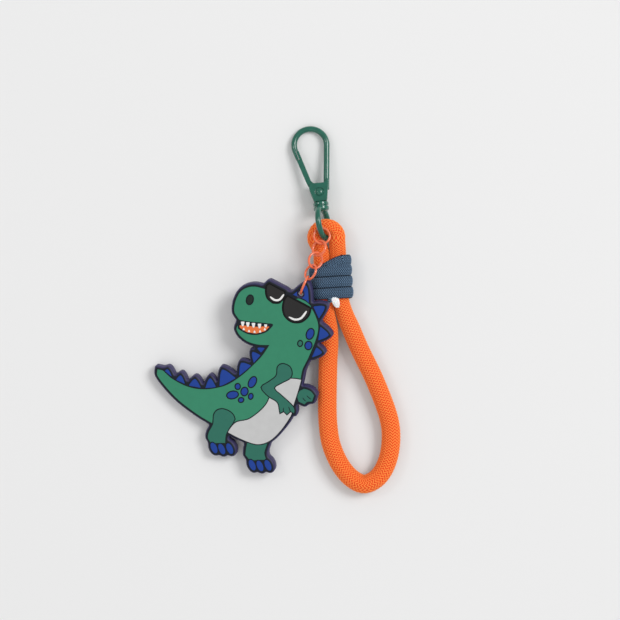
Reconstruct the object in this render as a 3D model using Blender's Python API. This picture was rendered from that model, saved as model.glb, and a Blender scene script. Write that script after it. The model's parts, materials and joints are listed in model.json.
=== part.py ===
"""Keyring: swivel snap hook, braided rope strap with a cord whipping, and a dinosaur charm on a chain.

The object lies on z = 0 with the hook towards +Y.  Lengths below are in millimetres.
"""
import math

import bmesh
import bpy
import numpy as np
from mathutils import Matrix, Vector

MM = 0.001

# snap hook, in its own frame: origin at the foot of the block, +Y along the hook, +Z out of its plane
HOOK_FOOT = (17.6, 42.7, 5.64)
HOOK_LEAN = 7.1
HOOK_DIP = 8.6
WIRE = 1.15
BOW_CENTRE = (-1.2, 23.45)
BOW_RADIUS = 6.5
SPINE_FOOT = (2.9, 4.6)
GATE_FOOT = (-3.3, 7.0)
LAP_START = 0.35
LAP_END = 3.7
LAP_GAP = 0.15
BLOCK_HALF = 2.2
SLOT_HALF = 1.0
SLOT_FLOOR = 1.7
PIN_CENTRE = (0.0, 3.7)
PIN_RADIUS = 0.7
PIN_HEAD_RADIUS = 1.45
PIN_HEAD_HEIGHT = 0.45
PIN_FIT = 0.1
GATE_HALF = 0.85
GATE_REACH = 1.0
HUB_RADIUS = 1.9
SPRING_POCKET_RADIUS = 1.45
SPRING_POCKET_DEPTH = 1.2
SPRING_WIRE = 0.15
SPRING_RADIUS = 1.1
SPRING_PITCH = 0.36
SPRING_TURNS = 2.25

# swivel eye, on the hook's axis
SHANK_RADIUS = 1.1
SHANK_FIT = 0.15
SHANK_HEAD_RADIUS = 1.5
FOOT_WALL = 0.95
HEAD_POCKET_RADIUS = 1.75
EYE_WIRE = 0.95
EYE_RADIUS = 6.2
EYE_CENTRE = -8.4
EYE_ROLL = 18.0

# ring chain
RING_WIRE = 0.42
RING_SPACING = 1.12
FIRST_RING = (18.1, 29.0, 10.95)
RING_RADIUS = 3.1
BAR_IN_FIRST_RING = (18.4, 29.6, 10.9)
LAST_RING_RADIUS = 3.7
# each ring: heading to the left of -Y, climb, roll about its own length (degrees)
RING_LIE = ((12, 11, 0), (14, 11, 40), (20, 5, -32), (27, -1, 54), (23, -7, 94))

# charm, in its own frame: origin at the centre of the hanging hole on the flat back
CHARM_TILT = 8.0
CHARM_TILT_HEADING = 38.0
CHARM_THICK = 4.0
RIM = 0.9
LINE = 0.5
FIT = 0.1
POCKET_DEPTH = 1.1
HOLE_RADIUS = 1.3
OUTLINE_STEP = 2.0

# rope strap
ROPE_RADIUS = 3.66
ROPE_SQUEEZED = 3.2
SHEATH_WALL = 1.2
CORE_FIT = 0.16
FOLD_CENTRE = (19.9, 28.35)
FOLD_RADIUS = 4.55
FOLD_HEIGHT = 6.55
ROPE_STEP = 5.5
ROPE_SIDES = 14

# cord whipping
CORD_WIDTH = 3.9
CORD_THICK = 1.7
CORD_WALL = 0.24
WHIP_MIDDLE = 22.2
WHIP_FOOT = 5.9
WHIP_LEAN = 0.064
WHIP_TOP = 20.1
WHIP_PITCH = 4.43
WHIP_HEIGHT = 5.1
WHIP_TURNS = 3
LEG_OFFSET = 3.3
WHIP_FIT = 0.15
WHIP_CORE_FIT = 0.14

GREEN = (0.045, 0.20, 0.13)
WHITE = (0.85, 0.85, 0.85)
ORANGE = (0.95, 0.13, 0.02)
CORD_NAVY = (0.035, 0.07, 0.14)
STEEL = (0.5, 0.5, 0.5)
# soft PVC colours of the charm
PVC = {
    "navy": (0.025, 0.027, 0.08),
    "green": (0.05, 0.26, 0.16),
    "limb_green": (0.035, 0.18, 0.12),
    "blue": (0.025, 0.065, 0.33),
    "grey": (0.58, 0.58, 0.58),
    "black": (0.03, 0.03, 0.03),
    "lens": (0.045, 0.042, 0.04),
    "white": WHITE,
    "gum": (0.75, 0.25, 0.08),
}


# ---------------------------------------------------------------- materials and objects

def finish(name, colour, roughness, metallic=0.0):
    """A Principled material under this name, made once."""
    existing = bpy.data.materials.get(name)
    if existing:
        return existing
    material = bpy.data.materials.new(name)
    material.use_nodes = True
    shader = material.node_tree.nodes["Principled BSDF"]
    shader.inputs["Base Color"].default_value = (*colour, 1.0)
    shader.inputs["Roughness"].default_value = roughness
    shader.inputs["Metallic"].default_value = metallic
    return material


def pvc(colour):
    return finish("pvc_" + colour, PVC[colour], 0.45)


def new_empty(name, parent, matrix):
    """An empty whose world placement is matrix (its translation in millimetres)."""
    empty = bpy.data.objects.new(name, None)
    bpy.context.scene.collection.objects.link(empty)
    empty.empty_display_size = 0.005
    placed = matrix.copy()
    placed.translation = matrix.translation * MM
    empty.parent = parent
    if parent:
        placed = world_matrix(parent).inverted() @ placed
    empty.matrix_basis = placed
    return empty


def world_matrix(item):
    """World placement of an object from its parents' local placements."""
    local = item.matrix_basis.copy()
    return world_matrix(item.parent) @ local if item.parent else local


def add_piece(name, mesh_bm, material, parent, smooth_angle=None):
    """Write a bmesh, in millimetres of its parent's frame, to a new named object."""
    bmesh.ops.recalc_face_normals(mesh_bm, faces=mesh_bm.faces)
    bmesh.ops.scale(mesh_bm, vec=(MM, MM, MM), verts=mesh_bm.verts)
    mesh = bpy.data.meshes.new(name)
    mesh_bm.to_mesh(mesh)
    mesh_bm.free()
    item = bpy.data.objects.new(name, mesh)
    bpy.context.scene.collection.objects.link(item)
    item.parent = parent
    mesh.materials.append(material)
    if smooth_angle:
        mesh.shade_smooth()
        mesh.set_sharp_from_angle(angle=math.radians(smooth_angle))
    return item


def combine(target, tools, operation):
    """Apply one exact Boolean per tool to a bmesh and return the result."""
    holder = bpy.data.objects.new("combine_target", bpy.data.meshes.new("combine_target"))
    target.to_mesh(holder.data)
    target.free()
    bpy.context.scene.collection.objects.link(holder)
    for tool in tools:
        other = bpy.data.objects.new("combine_tool", bpy.data.meshes.new("combine_tool"))
        tool.to_mesh(other.data)
        bpy.context.scene.collection.objects.link(other)
        step = holder.modifiers.new("step", "BOOLEAN")
        step.operation = operation
        step.object = other
        bpy.context.view_layer.update()
        evaluated = holder.evaluated_get(bpy.context.evaluated_depsgraph_get())
        result = bpy.data.meshes.new_from_object(evaluated)
        holder.modifiers.clear()
        holder.data = result
        bpy.data.objects.remove(other)
    merged = bmesh.new()
    merged.from_mesh(holder.data)
    bpy.data.objects.remove(holder)
    bmesh.ops.remove_doubles(merged, verts=merged.verts, dist=0.004)
    bmesh.ops.dissolve_degenerate(merged, edges=merged.edges, dist=0.004)
    return merged


def free_all(tools):
    for tool in tools:
        tool.free()


def cut(target, tools):
    result = combine(target, tools, "DIFFERENCE")
    free_all(tools)
    return result


def join(target, tools):
    result = combine(target, tools, "UNION")
    free_all(tools)
    return result


def keep_largest_part(solid):
    """Delete the loose crumbs that a cut can leave beside the main body."""
    parts = []
    waiting = set(solid.verts)
    while waiting:
        stack = [waiting.pop()]
        part = set(stack)
        while stack:
            for edge in stack.pop().link_edges:
                for vertex in edge.verts:
                    if vertex in waiting:
                        waiting.remove(vertex)
                        part.add(vertex)
                        stack.append(vertex)
        parts.append(part)
    largest = max(parts, key=len)
    crumbs = [vertex for part in parts if part is not largest for vertex in part]
    bmesh.ops.delete(solid, geom=crumbs, context="VERTS")
    return solid


# ---------------------------------------------------------------- outlines

def smooth_outline(points, step=OUTLINE_STEP, closed=True):
    """Spline through the points; a point with a third value of 1 is a corner."""
    count = len(points)
    place = [Vector(point[:2]) for point in points]
    corner = [len(point) > 2 for point in points]
    result = []
    for index in range(count if closed else count - 1):
        start, end = place[index], place[(index + 1) % count]
        before = place[index - 1] if (closed or index) and not corner[index] else None
        after_index = (index + 2) % count
        end_is_corner = corner[(index + 1) % count]
        last = not closed and index == count - 2
        after = None if end_is_corner or last else place[after_index]
        leaving = (end - before) / 2 if before else (end - start)
        arriving = (after - start) / 2 if after else (end - start)
        parts = max(1, round((end - start).length / step))
        for part in range(parts):
            t = part / parts
            result.append(
                start * (2 * t**3 - 3 * t**2 + 1)
                + leaving * (t**3 - 2 * t**2 + t)
                + end * (3 * t**2 - 2 * t**3)
                + arriving * (t**3 - t**2)
            )
    if not closed:
        result.append(place[-1])
    return [(point.x, point.y) for point in result]


def ellipse(centre, across, along, lean=0.0, parts=12):
    """Ellipse with half-widths across and along, its long side leaning to the right."""
    turn = math.radians(lean)
    result = []
    for index in range(parts):
        angle = math.tau * index / parts
        x, y = across * math.cos(angle), along * math.sin(angle)
        result.append((
            centre[0] + x * math.cos(turn) + y * math.sin(turn),
            centre[1] - x * math.sin(turn) + y * math.cos(turn),
        ))
    return result


def rounded_triangle(left, tip, right, rounding=0.75):
    """Spike outline: straight foot, two flanks and a rounded tip."""
    left, tip, right = Vector(left), Vector(tip), Vector(right)
    first = tip + (left - tip).normalized() * rounding
    second = tip + (right - tip).normalized() * rounding
    top = (first + second + 2 * tip) / 4
    return [tuple(point) for point in (left, (left + first) / 2, first, top, second, right)]


def signed_area(outline):
    total = 0.0
    for (x0, y0), (x1, y1) in zip(outline, outline[1:] + outline[:1]):
        total += x0 * y1 - x1 * y0
    return total / 2


def offset_outline(outline, distance):
    """Grow (or, with a negative distance, shrink) an outline and drop what folds over."""
    if signed_area(outline) < 0:
        outline = outline[::-1]
    start = np.array(outline)
    end = np.roll(start, -1, axis=0)
    run = end - start
    length = np.linalg.norm(run, axis=1, keepdims=True)
    outward = np.stack([run[:, 1], -run[:, 0]], axis=1) / length
    shifted = []
    for point, before, after in zip(start, np.roll(outward, 1, axis=0), outward):
        middle = before + after
        stretch = 2.0 / float(middle @ middle)
        if distance > 0 and stretch > 1.5:
            shifted.extend((point + before * distance, point + middle * distance, point + after * distance))
        else:
            shifted.append(point + middle * stretch * distance)
    kept = []
    for point in shifted:
        along = np.clip(np.sum((point - start) * run, axis=1) / (length[:, 0] ** 2), 0, 1)
        nearest = np.min(np.linalg.norm(start + run * along[:, None] - point, axis=1))
        close_to_last = kept and math.dist(kept[-1], point) < 0.1
        if nearest > abs(distance) - 0.02 and not close_to_last:
            kept.append((float(point[0]), float(point[1])))
    if math.dist(kept[0], kept[-1]) < 0.1:
        kept.pop()
    return kept


def prism(outline, low, high):
    """Straight solid on a closed outline between two heights."""
    solid = bmesh.new()
    foot = [solid.verts.new((x, y, low)) for x, y in outline]
    head = [solid.verts.new((x, y, high)) for x, y in outline]
    solid.faces.new(foot[::-1])
    solid.faces.new(head)
    count = len(outline)
    for index in range(count):
        after = (index + 1) % count
        solid.faces.new((foot[index], foot[after], head[after], head[index]))
    bmesh.ops.recalc_face_normals(solid, faces=solid.faces)
    return solid


def circle(centre, radius, parts=20):
    return ellipse(centre, radius, radius, parts=parts)


# ---------------------------------------------------------------- swept solids

def frames_along(path, closed=False, up=None):
    """Side and normal vectors carried along a path without twist, or held to one up direction."""
    count = len(path)
    frames = []
    side = None
    for index in range(count):
        before = path[index - 1] if closed or index else path[0]
        after = path[(index + 1) % count] if closed or index < count - 1 else path[-1]
        ahead = (after - before).normalized()
        if up is not None:
            hint = up[index] if isinstance(up, list) else up
            side = ahead.cross(hint).normalized()
        elif side is None:
            side = ahead.orthogonal().normalized()
        else:
            side = (side - ahead * side.dot(ahead)).normalized()
        frames.append((side, side.cross(ahead).normalized()))
    return frames


def ring_points(centre, frame, half_side, half_normal, sides):
    side, normal = frame
    points = []
    for index in range(sides):
        angle = math.tau * (index + 0.5) / sides
        points.append(centre + side * half_side * math.cos(angle) + normal * half_normal * math.sin(angle))
    return points


def bridge(solid, first, second):
    count = len(first)
    for index in range(count):
        after = (index + 1) % count
        solid.faces.new((first[index], first[after], second[after], second[index]))


def sweep(path, size, sides, closed=False, up=None):
    """Solid bar along a path; size gives its half widths at each point of the path."""
    solid = bmesh.new()
    frames = frames_along(path, closed, up)
    rings = []
    for centre, frame, (half_side, half_normal) in zip(path, frames, size):
        points = ring_points(centre, frame, half_side, half_normal, sides)
        rings.append([solid.verts.new(point) for point in points])
    for first, second in zip(rings, rings[1:]):
        bridge(solid, first, second)
    if closed:
        bridge(solid, rings[-1], rings[0])
    else:
        solid.faces.new(rings[0][::-1])
        solid.faces.new(rings[-1])
    bmesh.ops.recalc_face_normals(solid, faces=solid.faces)
    return solid


def hollow_sweep(path, size, wall, sides, up=None):
    """Open-ended tube along a path, with a wall of one thickness."""
    solid = bmesh.new()
    frames = frames_along(path, up=up)
    outer, inner = [], []
    for centre, frame, (half_side, half_normal) in zip(path, frames, size):
        outside = ring_points(centre, frame, half_side, half_normal, sides)
        inside = ring_points(centre, frame, half_side - wall, half_normal - wall, sides)
        outer.append([solid.verts.new(point) for point in outside])
        inner.append([solid.verts.new(point) for point in inside])
    for first, second in zip(outer, outer[1:]):
        bridge(solid, first, second)
    for first, second in zip(inner, inner[1:]):
        bridge(solid, second, first)
    bridge(solid, inner[0], outer[0])
    bridge(solid, outer[-1], inner[-1])
    bmesh.ops.recalc_face_normals(solid, faces=solid.faces)
    return solid


def lathe(profile, sides):
    """Solid turned about the Y axis from (radius, y) points, both ends on the axis."""
    solid = bmesh.new()
    rings = []
    for radius, y in profile:
        ring = []
        for index in range(sides):
            angle = math.tau * index / sides
            ring.append(solid.verts.new((radius * math.cos(angle), y, radius * math.sin(angle))))
        rings.append(ring)
    for first, second in zip(rings, rings[1:]):
        bridge(solid, first, second)
    solid.faces.new(rings[0])
    solid.faces.new(rings[-1])
    bmesh.ops.recalc_face_normals(solid, faces=solid.faces)
    return solid


def spline_path(points, step, closed=False):
    """Catmull-Rom path through 3-D points, sampled about every step."""
    place = [Vector(point) for point in points]
    count = len(place)
    result = []
    for index in range(count if closed else count - 1):
        start, end = place[index], place[(index + 1) % count]
        before = place[index - 1] if closed or index else start
        after = place[(index + 2) % count] if closed or index < count - 2 else end
        parts = max(1, round((end - start).length / step))
        for part in range(parts):
            t = part / parts
            leaving, arriving = (end - before) / 2, (after - start) / 2
            result.append(
                start * (2 * t**3 - 3 * t**2 + 1)
                + leaving * (t**3 - 2 * t**2 + t)
                + end * (3 * t**2 - 2 * t**3)
                + arriving * (t**3 - t**2)
            )
    if not closed:
        result.append(place[-1])
    return result


# ---------------------------------------------------------------- snap hook

def tangent_angle(foot, side):
    """Angle on the bow circle where a line from foot touches it, on the given side."""
    offset = Vector(foot) - Vector(BOW_CENTRE)
    return math.atan2(offset.y, offset.x) + side * math.acos(BOW_RADIUS / offset.length)


def bow_point(angle):
    return Vector((
        BOW_CENTRE[0] + BOW_RADIUS * math.cos(angle),
        BOW_CENTRE[1] + BOW_RADIUS * math.sin(angle),
        0.0,
    ))


def gate_line():
    """Top of the gate's centre line, its direction down to the gate foot and its inward normal."""
    top = bow_point(tangent_angle(GATE_FOOT, -1))
    down = (Vector((*GATE_FOOT, 0)) - top).normalized()
    inward = Vector((-down.y, down.x, 0))
    return top, down, inward


def hook_bow():
    """Round wire from the block up the spine, over the bow and down to the nose."""
    top, down, _ = gate_line()
    start = tangent_angle(SPINE_FOOT, 1)
    end = tangent_angle(GATE_FOOT, -1) + math.tau
    path = [Vector((*SPINE_FOOT, 0))]
    parts = 14
    for index in range(parts + 1):
        path.append(bow_point(start + (end - start) * index / parts))
    path.append(top + down * LAP_END)
    return sweep(path, [(WIRE, WIRE)] * len(path), 12, up=Vector((0, 0, 1)))


def lap_box(low, high, from_side, to_side):
    """Box beside the gate line, between two distances down it and two distances inward."""
    top, down, inward = gate_line()
    corners = ((low, from_side), (high, from_side), (high, to_side), (low, to_side))
    outline = [tuple((top + down * along + inward * aside)[:2]) for along, aside in corners]
    return prism(outline, -2 * WIRE, 2 * WIRE)


def block_outline():
    return [
        (-2.5, 0.0), (2.6, 0.0), (3.45, 4.4), (4.2, 8.2), (3.7, 8.8), (2.3, 7.3),
        (-0.6, 7.4), (-3.3, 7.5), (-3.8, 5.4),
    ]


def make_hook_body(parent):
    bow = hook_bow()
    bow = cut(bow, [lap_box(LAP_START - LAP_GAP, LAP_END + 1.0, 0.0, 2.5 * WIRE)])
    block = prism(block_outline(), -BLOCK_HALF, BLOCK_HALF)
    bmesh.ops.bevel(
        block, geom=[edge for edge in block.edges if abs(edge.verts[0].co.z - edge.verts[1].co.z) < 0.01],
        offset=0.35, segments=1, affect="EDGES", profile=0.5,
    )
    slot = prism([(-6.0, SLOT_FLOOR), (2.35, SLOT_FLOOR), (2.35, 12.0), (-6.0, 12.0)], -SLOT_HALF, SLOT_HALF)
    block = cut(block, [slot])
    body = join(block, [bow])
    bore = lathe([(SHANK_RADIUS + SHANK_FIT, -1.0), (SHANK_RADIUS + SHANK_FIT, 1.5)], 16)
    pocket = lathe([(HEAD_POCKET_RADIUS, FOOT_WALL), (HEAD_POCKET_RADIUS, SLOT_FLOOR + 0.5)], 16)
    pin_bore = prism(circle(PIN_CENTRE, PIN_RADIUS + PIN_FIT, 16), -4.0, 4.0)
    body = keep_largest_part(cut(body, [bore, pocket, pin_bore]))
    return add_piece("hook_body", body, finish("green_paint", GREEN, 0.25, 0.3), parent, 40)


def gate_outline():
    """Flat outline of the gate: lap tip, bar, shoulder and round hub."""
    top, down, inward = gate_line()
    corners = (
        (LAP_START + 0.1, WIRE), (LAP_START, 0.45 * WIRE), (LAP_START + 0.1, LAP_GAP),
        (LAP_END + LAP_GAP, LAP_GAP), (LAP_END + LAP_GAP, -GATE_REACH), (14.1, -GATE_REACH),
    )
    outline = [tuple((top + down * along + inward * aside)[:2]) for along, aside in corners]
    outline.append((-2.9, 3.9))
    for index in range(9):
        angle = math.radians(200 + 23 * index)
        outline.append((
            PIN_CENTRE[0] + HUB_RADIUS * math.cos(angle),
            PIN_CENTRE[1] + HUB_RADIUS * math.sin(angle),
        ))
    outline.append((-0.4, 6.2))
    outline.append(tuple((top + down * 13.8 + inward * GATE_REACH)[:2]))
    return outline


def make_gate(parent):
    gate = prism(gate_outline(), -GATE_HALF, GATE_HALF)
    bore = prism(circle(PIN_CENTRE, PIN_RADIUS + PIN_FIT, 16), -4.0, 4.0)
    pocket_floor = GATE_HALF - SPRING_POCKET_DEPTH
    pocket = prism(circle(PIN_CENTRE, SPRING_POCKET_RADIUS, 16), pocket_floor, 4.0)
    gate = cut(gate, [bore, pocket])
    bmesh.ops.translate(gate, vec=(-PIN_CENTRE[0], -PIN_CENTRE[1], 0), verts=gate.verts)
    return add_piece("gate", gate, finish("green_paint", GREEN, 0.25, 0.3), parent, 40)


def make_gate_pin(parent):
    """Rivet through the block: plain shank with a low round head on each side."""
    inner = BLOCK_HALF + 0.06
    outer = inner + PIN_HEAD_HEIGHT
    profile = [
        (PIN_HEAD_RADIUS * 0.75, -outer), (PIN_HEAD_RADIUS, -outer + 0.2), (PIN_HEAD_RADIUS, -inner),
        (PIN_RADIUS, -inner), (PIN_RADIUS, inner), (PIN_HEAD_RADIUS, inner),
        (PIN_HEAD_RADIUS, outer - 0.2), (PIN_HEAD_RADIUS * 0.75, outer),
    ]
    pin = lathe(profile, 16)
    bmesh.ops.rotate(pin, cent=(0, 0, 0), matrix=Matrix.Rotation(math.radians(90), 3, "X"), verts=pin.verts)
    return add_piece("gate_pin", pin, finish("green_paint", GREEN, 0.25, 0.3), parent, 40)


def make_gate_spring(parent):
    """Torsion coil round the pin, inside the gate's pocket."""
    low = GATE_HALF - SPRING_POCKET_DEPTH + SPRING_WIRE + 0.08
    parts = 12
    path = []
    for index in range(int(SPRING_TURNS * parts) + 1):
        angle = math.tau * index / parts
        path.append(Vector((
            SPRING_RADIUS * math.cos(angle),
            SPRING_RADIUS * math.sin(angle),
            low + SPRING_PITCH * index / parts,
        )))
    spring = sweep(path, [(SPRING_WIRE, SPRING_WIRE)] * len(path), 5, up=Vector((0, 0, 1)))
    return add_piece("gate_spring", spring, finish("spring_steel", STEEL, 0.3, 1.0), parent, 60)


def make_swivel_eye(parent):
    """Shank with a flared head, grooved collar and the ring that takes rope and chain."""
    head_top = FOOT_WALL + 0.68
    profile = [
        (SHANK_HEAD_RADIUS, head_top), (SHANK_HEAD_RADIUS, FOOT_WALL + 0.08),
        (SHANK_RADIUS, FOOT_WALL + 0.08), (SHANK_RADIUS, -0.3),
        (2.3, -0.3), (2.62, -0.6), (2.62, -1.5), (2.3, -1.7), (2.3, -1.95), (2.62, -2.15),
        (2.62, -3.2), (2.2, -3.7), (1.4, -3.9),
    ]
    eye = lathe(profile, 18)
    roll = math.radians(EYE_ROLL)
    path = []
    parts = 26
    for index in range(parts):
        angle = math.tau * index / parts
        reach = EYE_RADIUS * math.sin(angle)
        path.append(Vector((
            -math.sin(roll) * reach,
            EYE_CENTRE + EYE_RADIUS * math.cos(angle),
            math.cos(roll) * reach,
        )))
    across = Vector((math.cos(roll), 0, math.sin(roll)))
    ring = sweep(path, [(EYE_WIRE, EYE_WIRE)] * parts, 12, closed=True, up=across)
    eye = join(eye, [ring])
    return add_piece("swivel_eye", eye, finish("green_paint", GREEN, 0.25, 0.3), parent, 40)


# ---------------------------------------------------------------- ring chain

def ring_frame(heading, climb, roll):
    """Length, width and normal directions of a ring from how it lies."""
    left, up = math.radians(heading), math.radians(climb)
    length = Vector((-math.sin(left) * math.cos(up), -math.cos(left) * math.cos(up), math.sin(up)))
    flat = Vector((math.cos(left), -math.sin(left), 0))
    normal = flat.cross(length).normalized()
    turn = Matrix.Rotation(math.radians(roll), 3, length)
    return length, turn @ flat, turn @ normal


def lay_chain():
    """Centre, directions and radius of each ring, and the point of the ring before that it hangs on."""
    links = []
    hang = None
    for index, lie in enumerate(RING_LIE):
        radius = LAST_RING_RADIUS if index == len(RING_LIE) - 1 else RING_RADIUS
        length, width, normal = ring_frame(*lie)
        centre = Vector(FIRST_RING) if hang is None else hang + length * (radius - RING_SPACING)
        links.append((centre, length, width, normal, radius, hang))
        hang = centre + length * radius
    return links, hang


def make_ring(name, link, parent, origin):
    centre, length, width, normal, radius, _ = link
    parts = 18
    path = []
    for index in range(parts):
        angle = math.tau * index / parts
        path.append(centre - origin + length * radius * math.cos(angle) + width * radius * math.sin(angle))
    ring = sweep(path, [(RING_WIRE, RING_WIRE)] * parts, 6, closed=True, up=normal)
    return add_piece(name, ring, finish("orange_paint", ORANGE, 0.3, 0.2), parent, 60)


# ---------------------------------------------------------------- charm outlines

BODY = [
    (-24.3, -10.5, 1), (-26.4, -7.6), (-26.2, -3.6), (-24.3, 0.5), (-21.4, 2.5), (-17.8, 3.0),
    (-13.0, 1.8), (-6.5, 0.6), (-0.9, -1.5), (1.9, -2.6), (4.6, -5.6), (6.4, -9.3), (7.2, -12.4),
    (6.9, -15.8), (5.4, -20.3), (3.0, -25.8), (0.9, -30.0), (0.1, -33.8), (-1.3, -39.3), (-4.1, -48.3),
    (-8.0, -54.0), (-12.5, -58.3), (-17.6, -59.8), (-23.8, -58.0), (-29.5, -55.2), (-35.6, -51.9),
    (-41.8, -48.2), (-49.0, -42.8), (-54.4, -37.2), (-57.7, -32.6), (-57.6, -30.1), (-55.2, -30.6),
    (-51.8, -33.6), (-46.2, -36.6), (-40.6, -37.9), (-35.0, -37.6), (-29.4, -36.0), (-23.8, -32.4),
    (-18.7, -27.8), (-15.3, -24.2), (-12.8, -20.5, 1), (-16.6, -20.4), (-21.0, -19.2),
    (-24.3, -16.7), (-25.7, -14.0), (-25.2, -12.2),
]
BELLY_UPPER = [
    (0.4, -33.9, 1), (-4.3, -33.4), (-8.2, -35.2), (-10.7, -37.5, 1), (-6.0, -43.2), (-3.2, -45.4, 1),
    (-1.2, -39.4),
]
BELLY_LOWER = [
    (-12.4, -40.6, 1), (-13.6, -43.2), (-16.2, -46.3), (-21.0, -49.8), (-26.2, -51.2), (-29.6, -55.3, 1),
    (-23.8, -58.2), (-17.6, -60.1), (-12.4, -58.6), (-7.7, -54.1), (-3.8, -48.3), (-2.9, -45.8, 1),
    (-7.6, -42.2, 1),
]
NEAR_ARM = [
    (-9.3, -28.9), (-7.2, -27.6), (-4.3, -28.8), (-3.4, -31.4), (-4.3, -33.6), (-7.6, -35.4),
    (-10.5, -37.4), (-8.4, -39.6), (-4.6, -43.0), (-2.6, -45.4), (-2.7, -47.6), (-4.2, -46.8),
    (-5.6, -48.1), (-6.9, -46.8), (-8.4, -47.6), (-8.9, -44.6), (-9.9, -42.7), (-13.1, -40.7), (-15.9, -37.2),
    (-12.8, -34.8), (-9.9, -32.4),
]
FAR_HAND = [
    (-1.7, -40.4), (-0.8, -38.6), (1.2, -37.4), (4.1, -38.5), (5.5, -40.2), (4.6, -42.8), (2.6, -43.0),
    (1.4, -44.0), (-1.0, -42.9),
]
NEAR_LEG = [
    (-35.0, -48.3), (-33.8, -46.5), (-31.5, -45.8), (-28.2, -47.0), (-26.3, -49.9), (-28.4, -53.4),
    (-29.9, -56.4), (-30.2, -59.8, 1), (-36.3, -59.8, 1), (-37.5, -57.6), (-37.0, -55.0), (-35.4, -52.0),
]
FAR_LEG = [
    (-21.4, -58.0, 1), (-12.6, -57.6, 1), (-13.9, -61.2), (-14.5, -63.6), (-13.8, -66.3, 1), (-20.6, -66.6, 1),
    (-22.5, -64.3), (-22.2, -61.4),
]
LENS_LEFT = [
    (-13.5, 3.2, 1), (-12.4, 4.1, 1), (-6.2, 0.9, 1), (-6.4, -1.4), (-8.4, -3.3), (-10.9, -3.4), (-12.9, -1.7),
    (-13.6, 0.8),
]
LENS_RIGHT = [
    (-5.2, -0.7, 1), (4.0, -5.6, 1), (3.1, -8.5), (0.3, -10.9), (-3.4, -10.9), (-6.2, -8.5), (-6.9, -5.1),
    (-6.1, -1.9),
]
BRIDGE = [(-7.0, 0.7, 1), (-4.6, -0.5, 1), (-5.4, -2.6, 1), (-7.2, -1.4, 1)]
MOUTH = [
    (-25.1, -10.4, 1), (-20.6, -11.2), (-15.6, -11.6), (-11.1, -12.2, 1), (-13.4, -14.8), (-17.6, -16.1),
    (-21.5, -15.6), (-24.7, -13.8, 1),
]
GUM = [
    (-24.0, -13.1, 1), (-21.2, -13.5), (-17.5, -13.9), (-13.0, -13.3, 1), (-14.3, -14.6), (-17.7, -15.5),
    (-21.2, -15.0), (-23.6, -13.9),
]
SPIKES = {
    "head_spike": ((-3.3, -0.2), (2.6, 4.1), (3.7, -4.2)),
    "neck_spike_1": ((4.8, -4.7), (10.2, -4.6), (7.3, -10.2)),
    "neck_spike_2": ((7.7, -12.4), (11.8, -16.3), (6.7, -18.8)),
    "neck_spike_3": ((6.2, -20.7), (9.1, -23.3), (4.0, -25.6)),
    "back_spike_1": ((-13.6, -21.2), (-17.8, -21.2), (-15.8, -23.7)),
    "back_spike_2": ((-15.6, -24.3), (-19.7, -22.6), (-18.9, -28.0)),
    "back_spike_3": ((-19.2, -28.4), (-24.0, -27.0), (-24.9, -33.2)),
    "back_spike_4": ((-25.5, -33.6), (-31.6, -29.6), (-32.8, -37.3)),
    "back_spike_5": ((-33.5, -37.4), (-36.3, -33.0), (-38.6, -37.9)),
    "back_spike_6": ((-39.5, -37.9), (-42.3, -33.4), (-45.3, -36.8)),
    "back_spike_7": ((-45.9, -36.5), (-48.0, -32.0), (-50.3, -34.5)),
    "back_spike_8": ((-50.9, -34.1), (-53.2, -29.7), (-54.8, -30.9)),
}
# each spot: centre, half-width across, half-width along, lean to the right
SPOTS = {
    "neck_spot_1": ((3.8, -15.8), 1.45, 2.25, 20),
    "neck_spot_2": ((3.1, -20.4), 1.4, 1.65, 10),
    "neck_spot_3": ((-0.2, -19.6), 0.95, 1.2, 10),
    "back_spot_1": ((-27.3, -40.3), 1.5, 2.4, 78),
    "back_spot_2": ((-25.2, -36.9), 1.05, 1.2, 0),
    "back_spot_3": ((-22.5, -38.9), 1.4, 1.7, 15),
    "back_spot_4": ((-19.3, -35.1), 1.4, 2.4, 28),
    "back_spot_5": ((-20.0, -40.8), 0.9, 1.2, 15),
    "back_spot_6": ((-23.9, -42.3), 0.95, 1.1, 70),
}
DARK_SPOT = "neck_spot_3"
CLAWS = {
    "near_claw_1": (-34.9, -61.6),
    "near_claw_2": (-31.8, -62.0),
    "near_claw_3": (-28.6, -61.8),
    "far_claw_1": (-19.6, -68.3),
    "far_claw_2": (-16.5, -68.6),
    "far_claw_3": (-13.3, -68.3),
}
# fields that lie inside the body outline and so do not shape the base plate
INNER_FIELDS = ("belly_upper", "belly_lower", "mouth", "nostril", *SPOTS)
CLAW_ACROSS = 1.35
CLAW_ALONG = 2.5
CLAW_LEAN = -24.0
TOOTH_TIPS = ((-23.1, -13.0), (-20.9, -13.1), (-18.7, -13.3), (-16.1, -13.4), (-13.7, -13.5))
TOOTH_HALF = 0.75
GUM_LINE = 1.25
FRAME_BAR = 0.28


def teeth_outline():
    """Strip under the lip with one pointed tooth for each tip."""
    outline = [(-23.9, -11.15), (-18.5, -11.75), (-12.9, -12.15)]
    for x, y in reversed(TOOTH_TIPS):
        outline.append((x + TOOTH_HALF, y + GUM_LINE))
        outline.append((x + 0.25, y))
        outline.append((x - 0.25, y))
        outline.append((x - TOOTH_HALF, y + GUM_LINE))
    return outline


def glint_outline(points, half_width):
    """Crescent stroke along a short open curve, thin at both ends."""
    path = smooth_outline(points, 1.2, closed=False)
    left, right = [], []
    for index, (x, y) in enumerate(path):
        before = path[max(index - 1, 0)]
        after = path[min(index + 1, len(path) - 1)]
        ahead = (Vector(after) - Vector(before)).normalized()
        share = index / (len(path) - 1)
        reach = half_width * (0.45 + 0.55 * math.sin(math.pi * share))
        left.append((x - ahead.y * reach, y + ahead.x * reach))
        right.append((x + ahead.y * reach, y - ahead.x * reach))
    return left + right[::-1]


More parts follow.
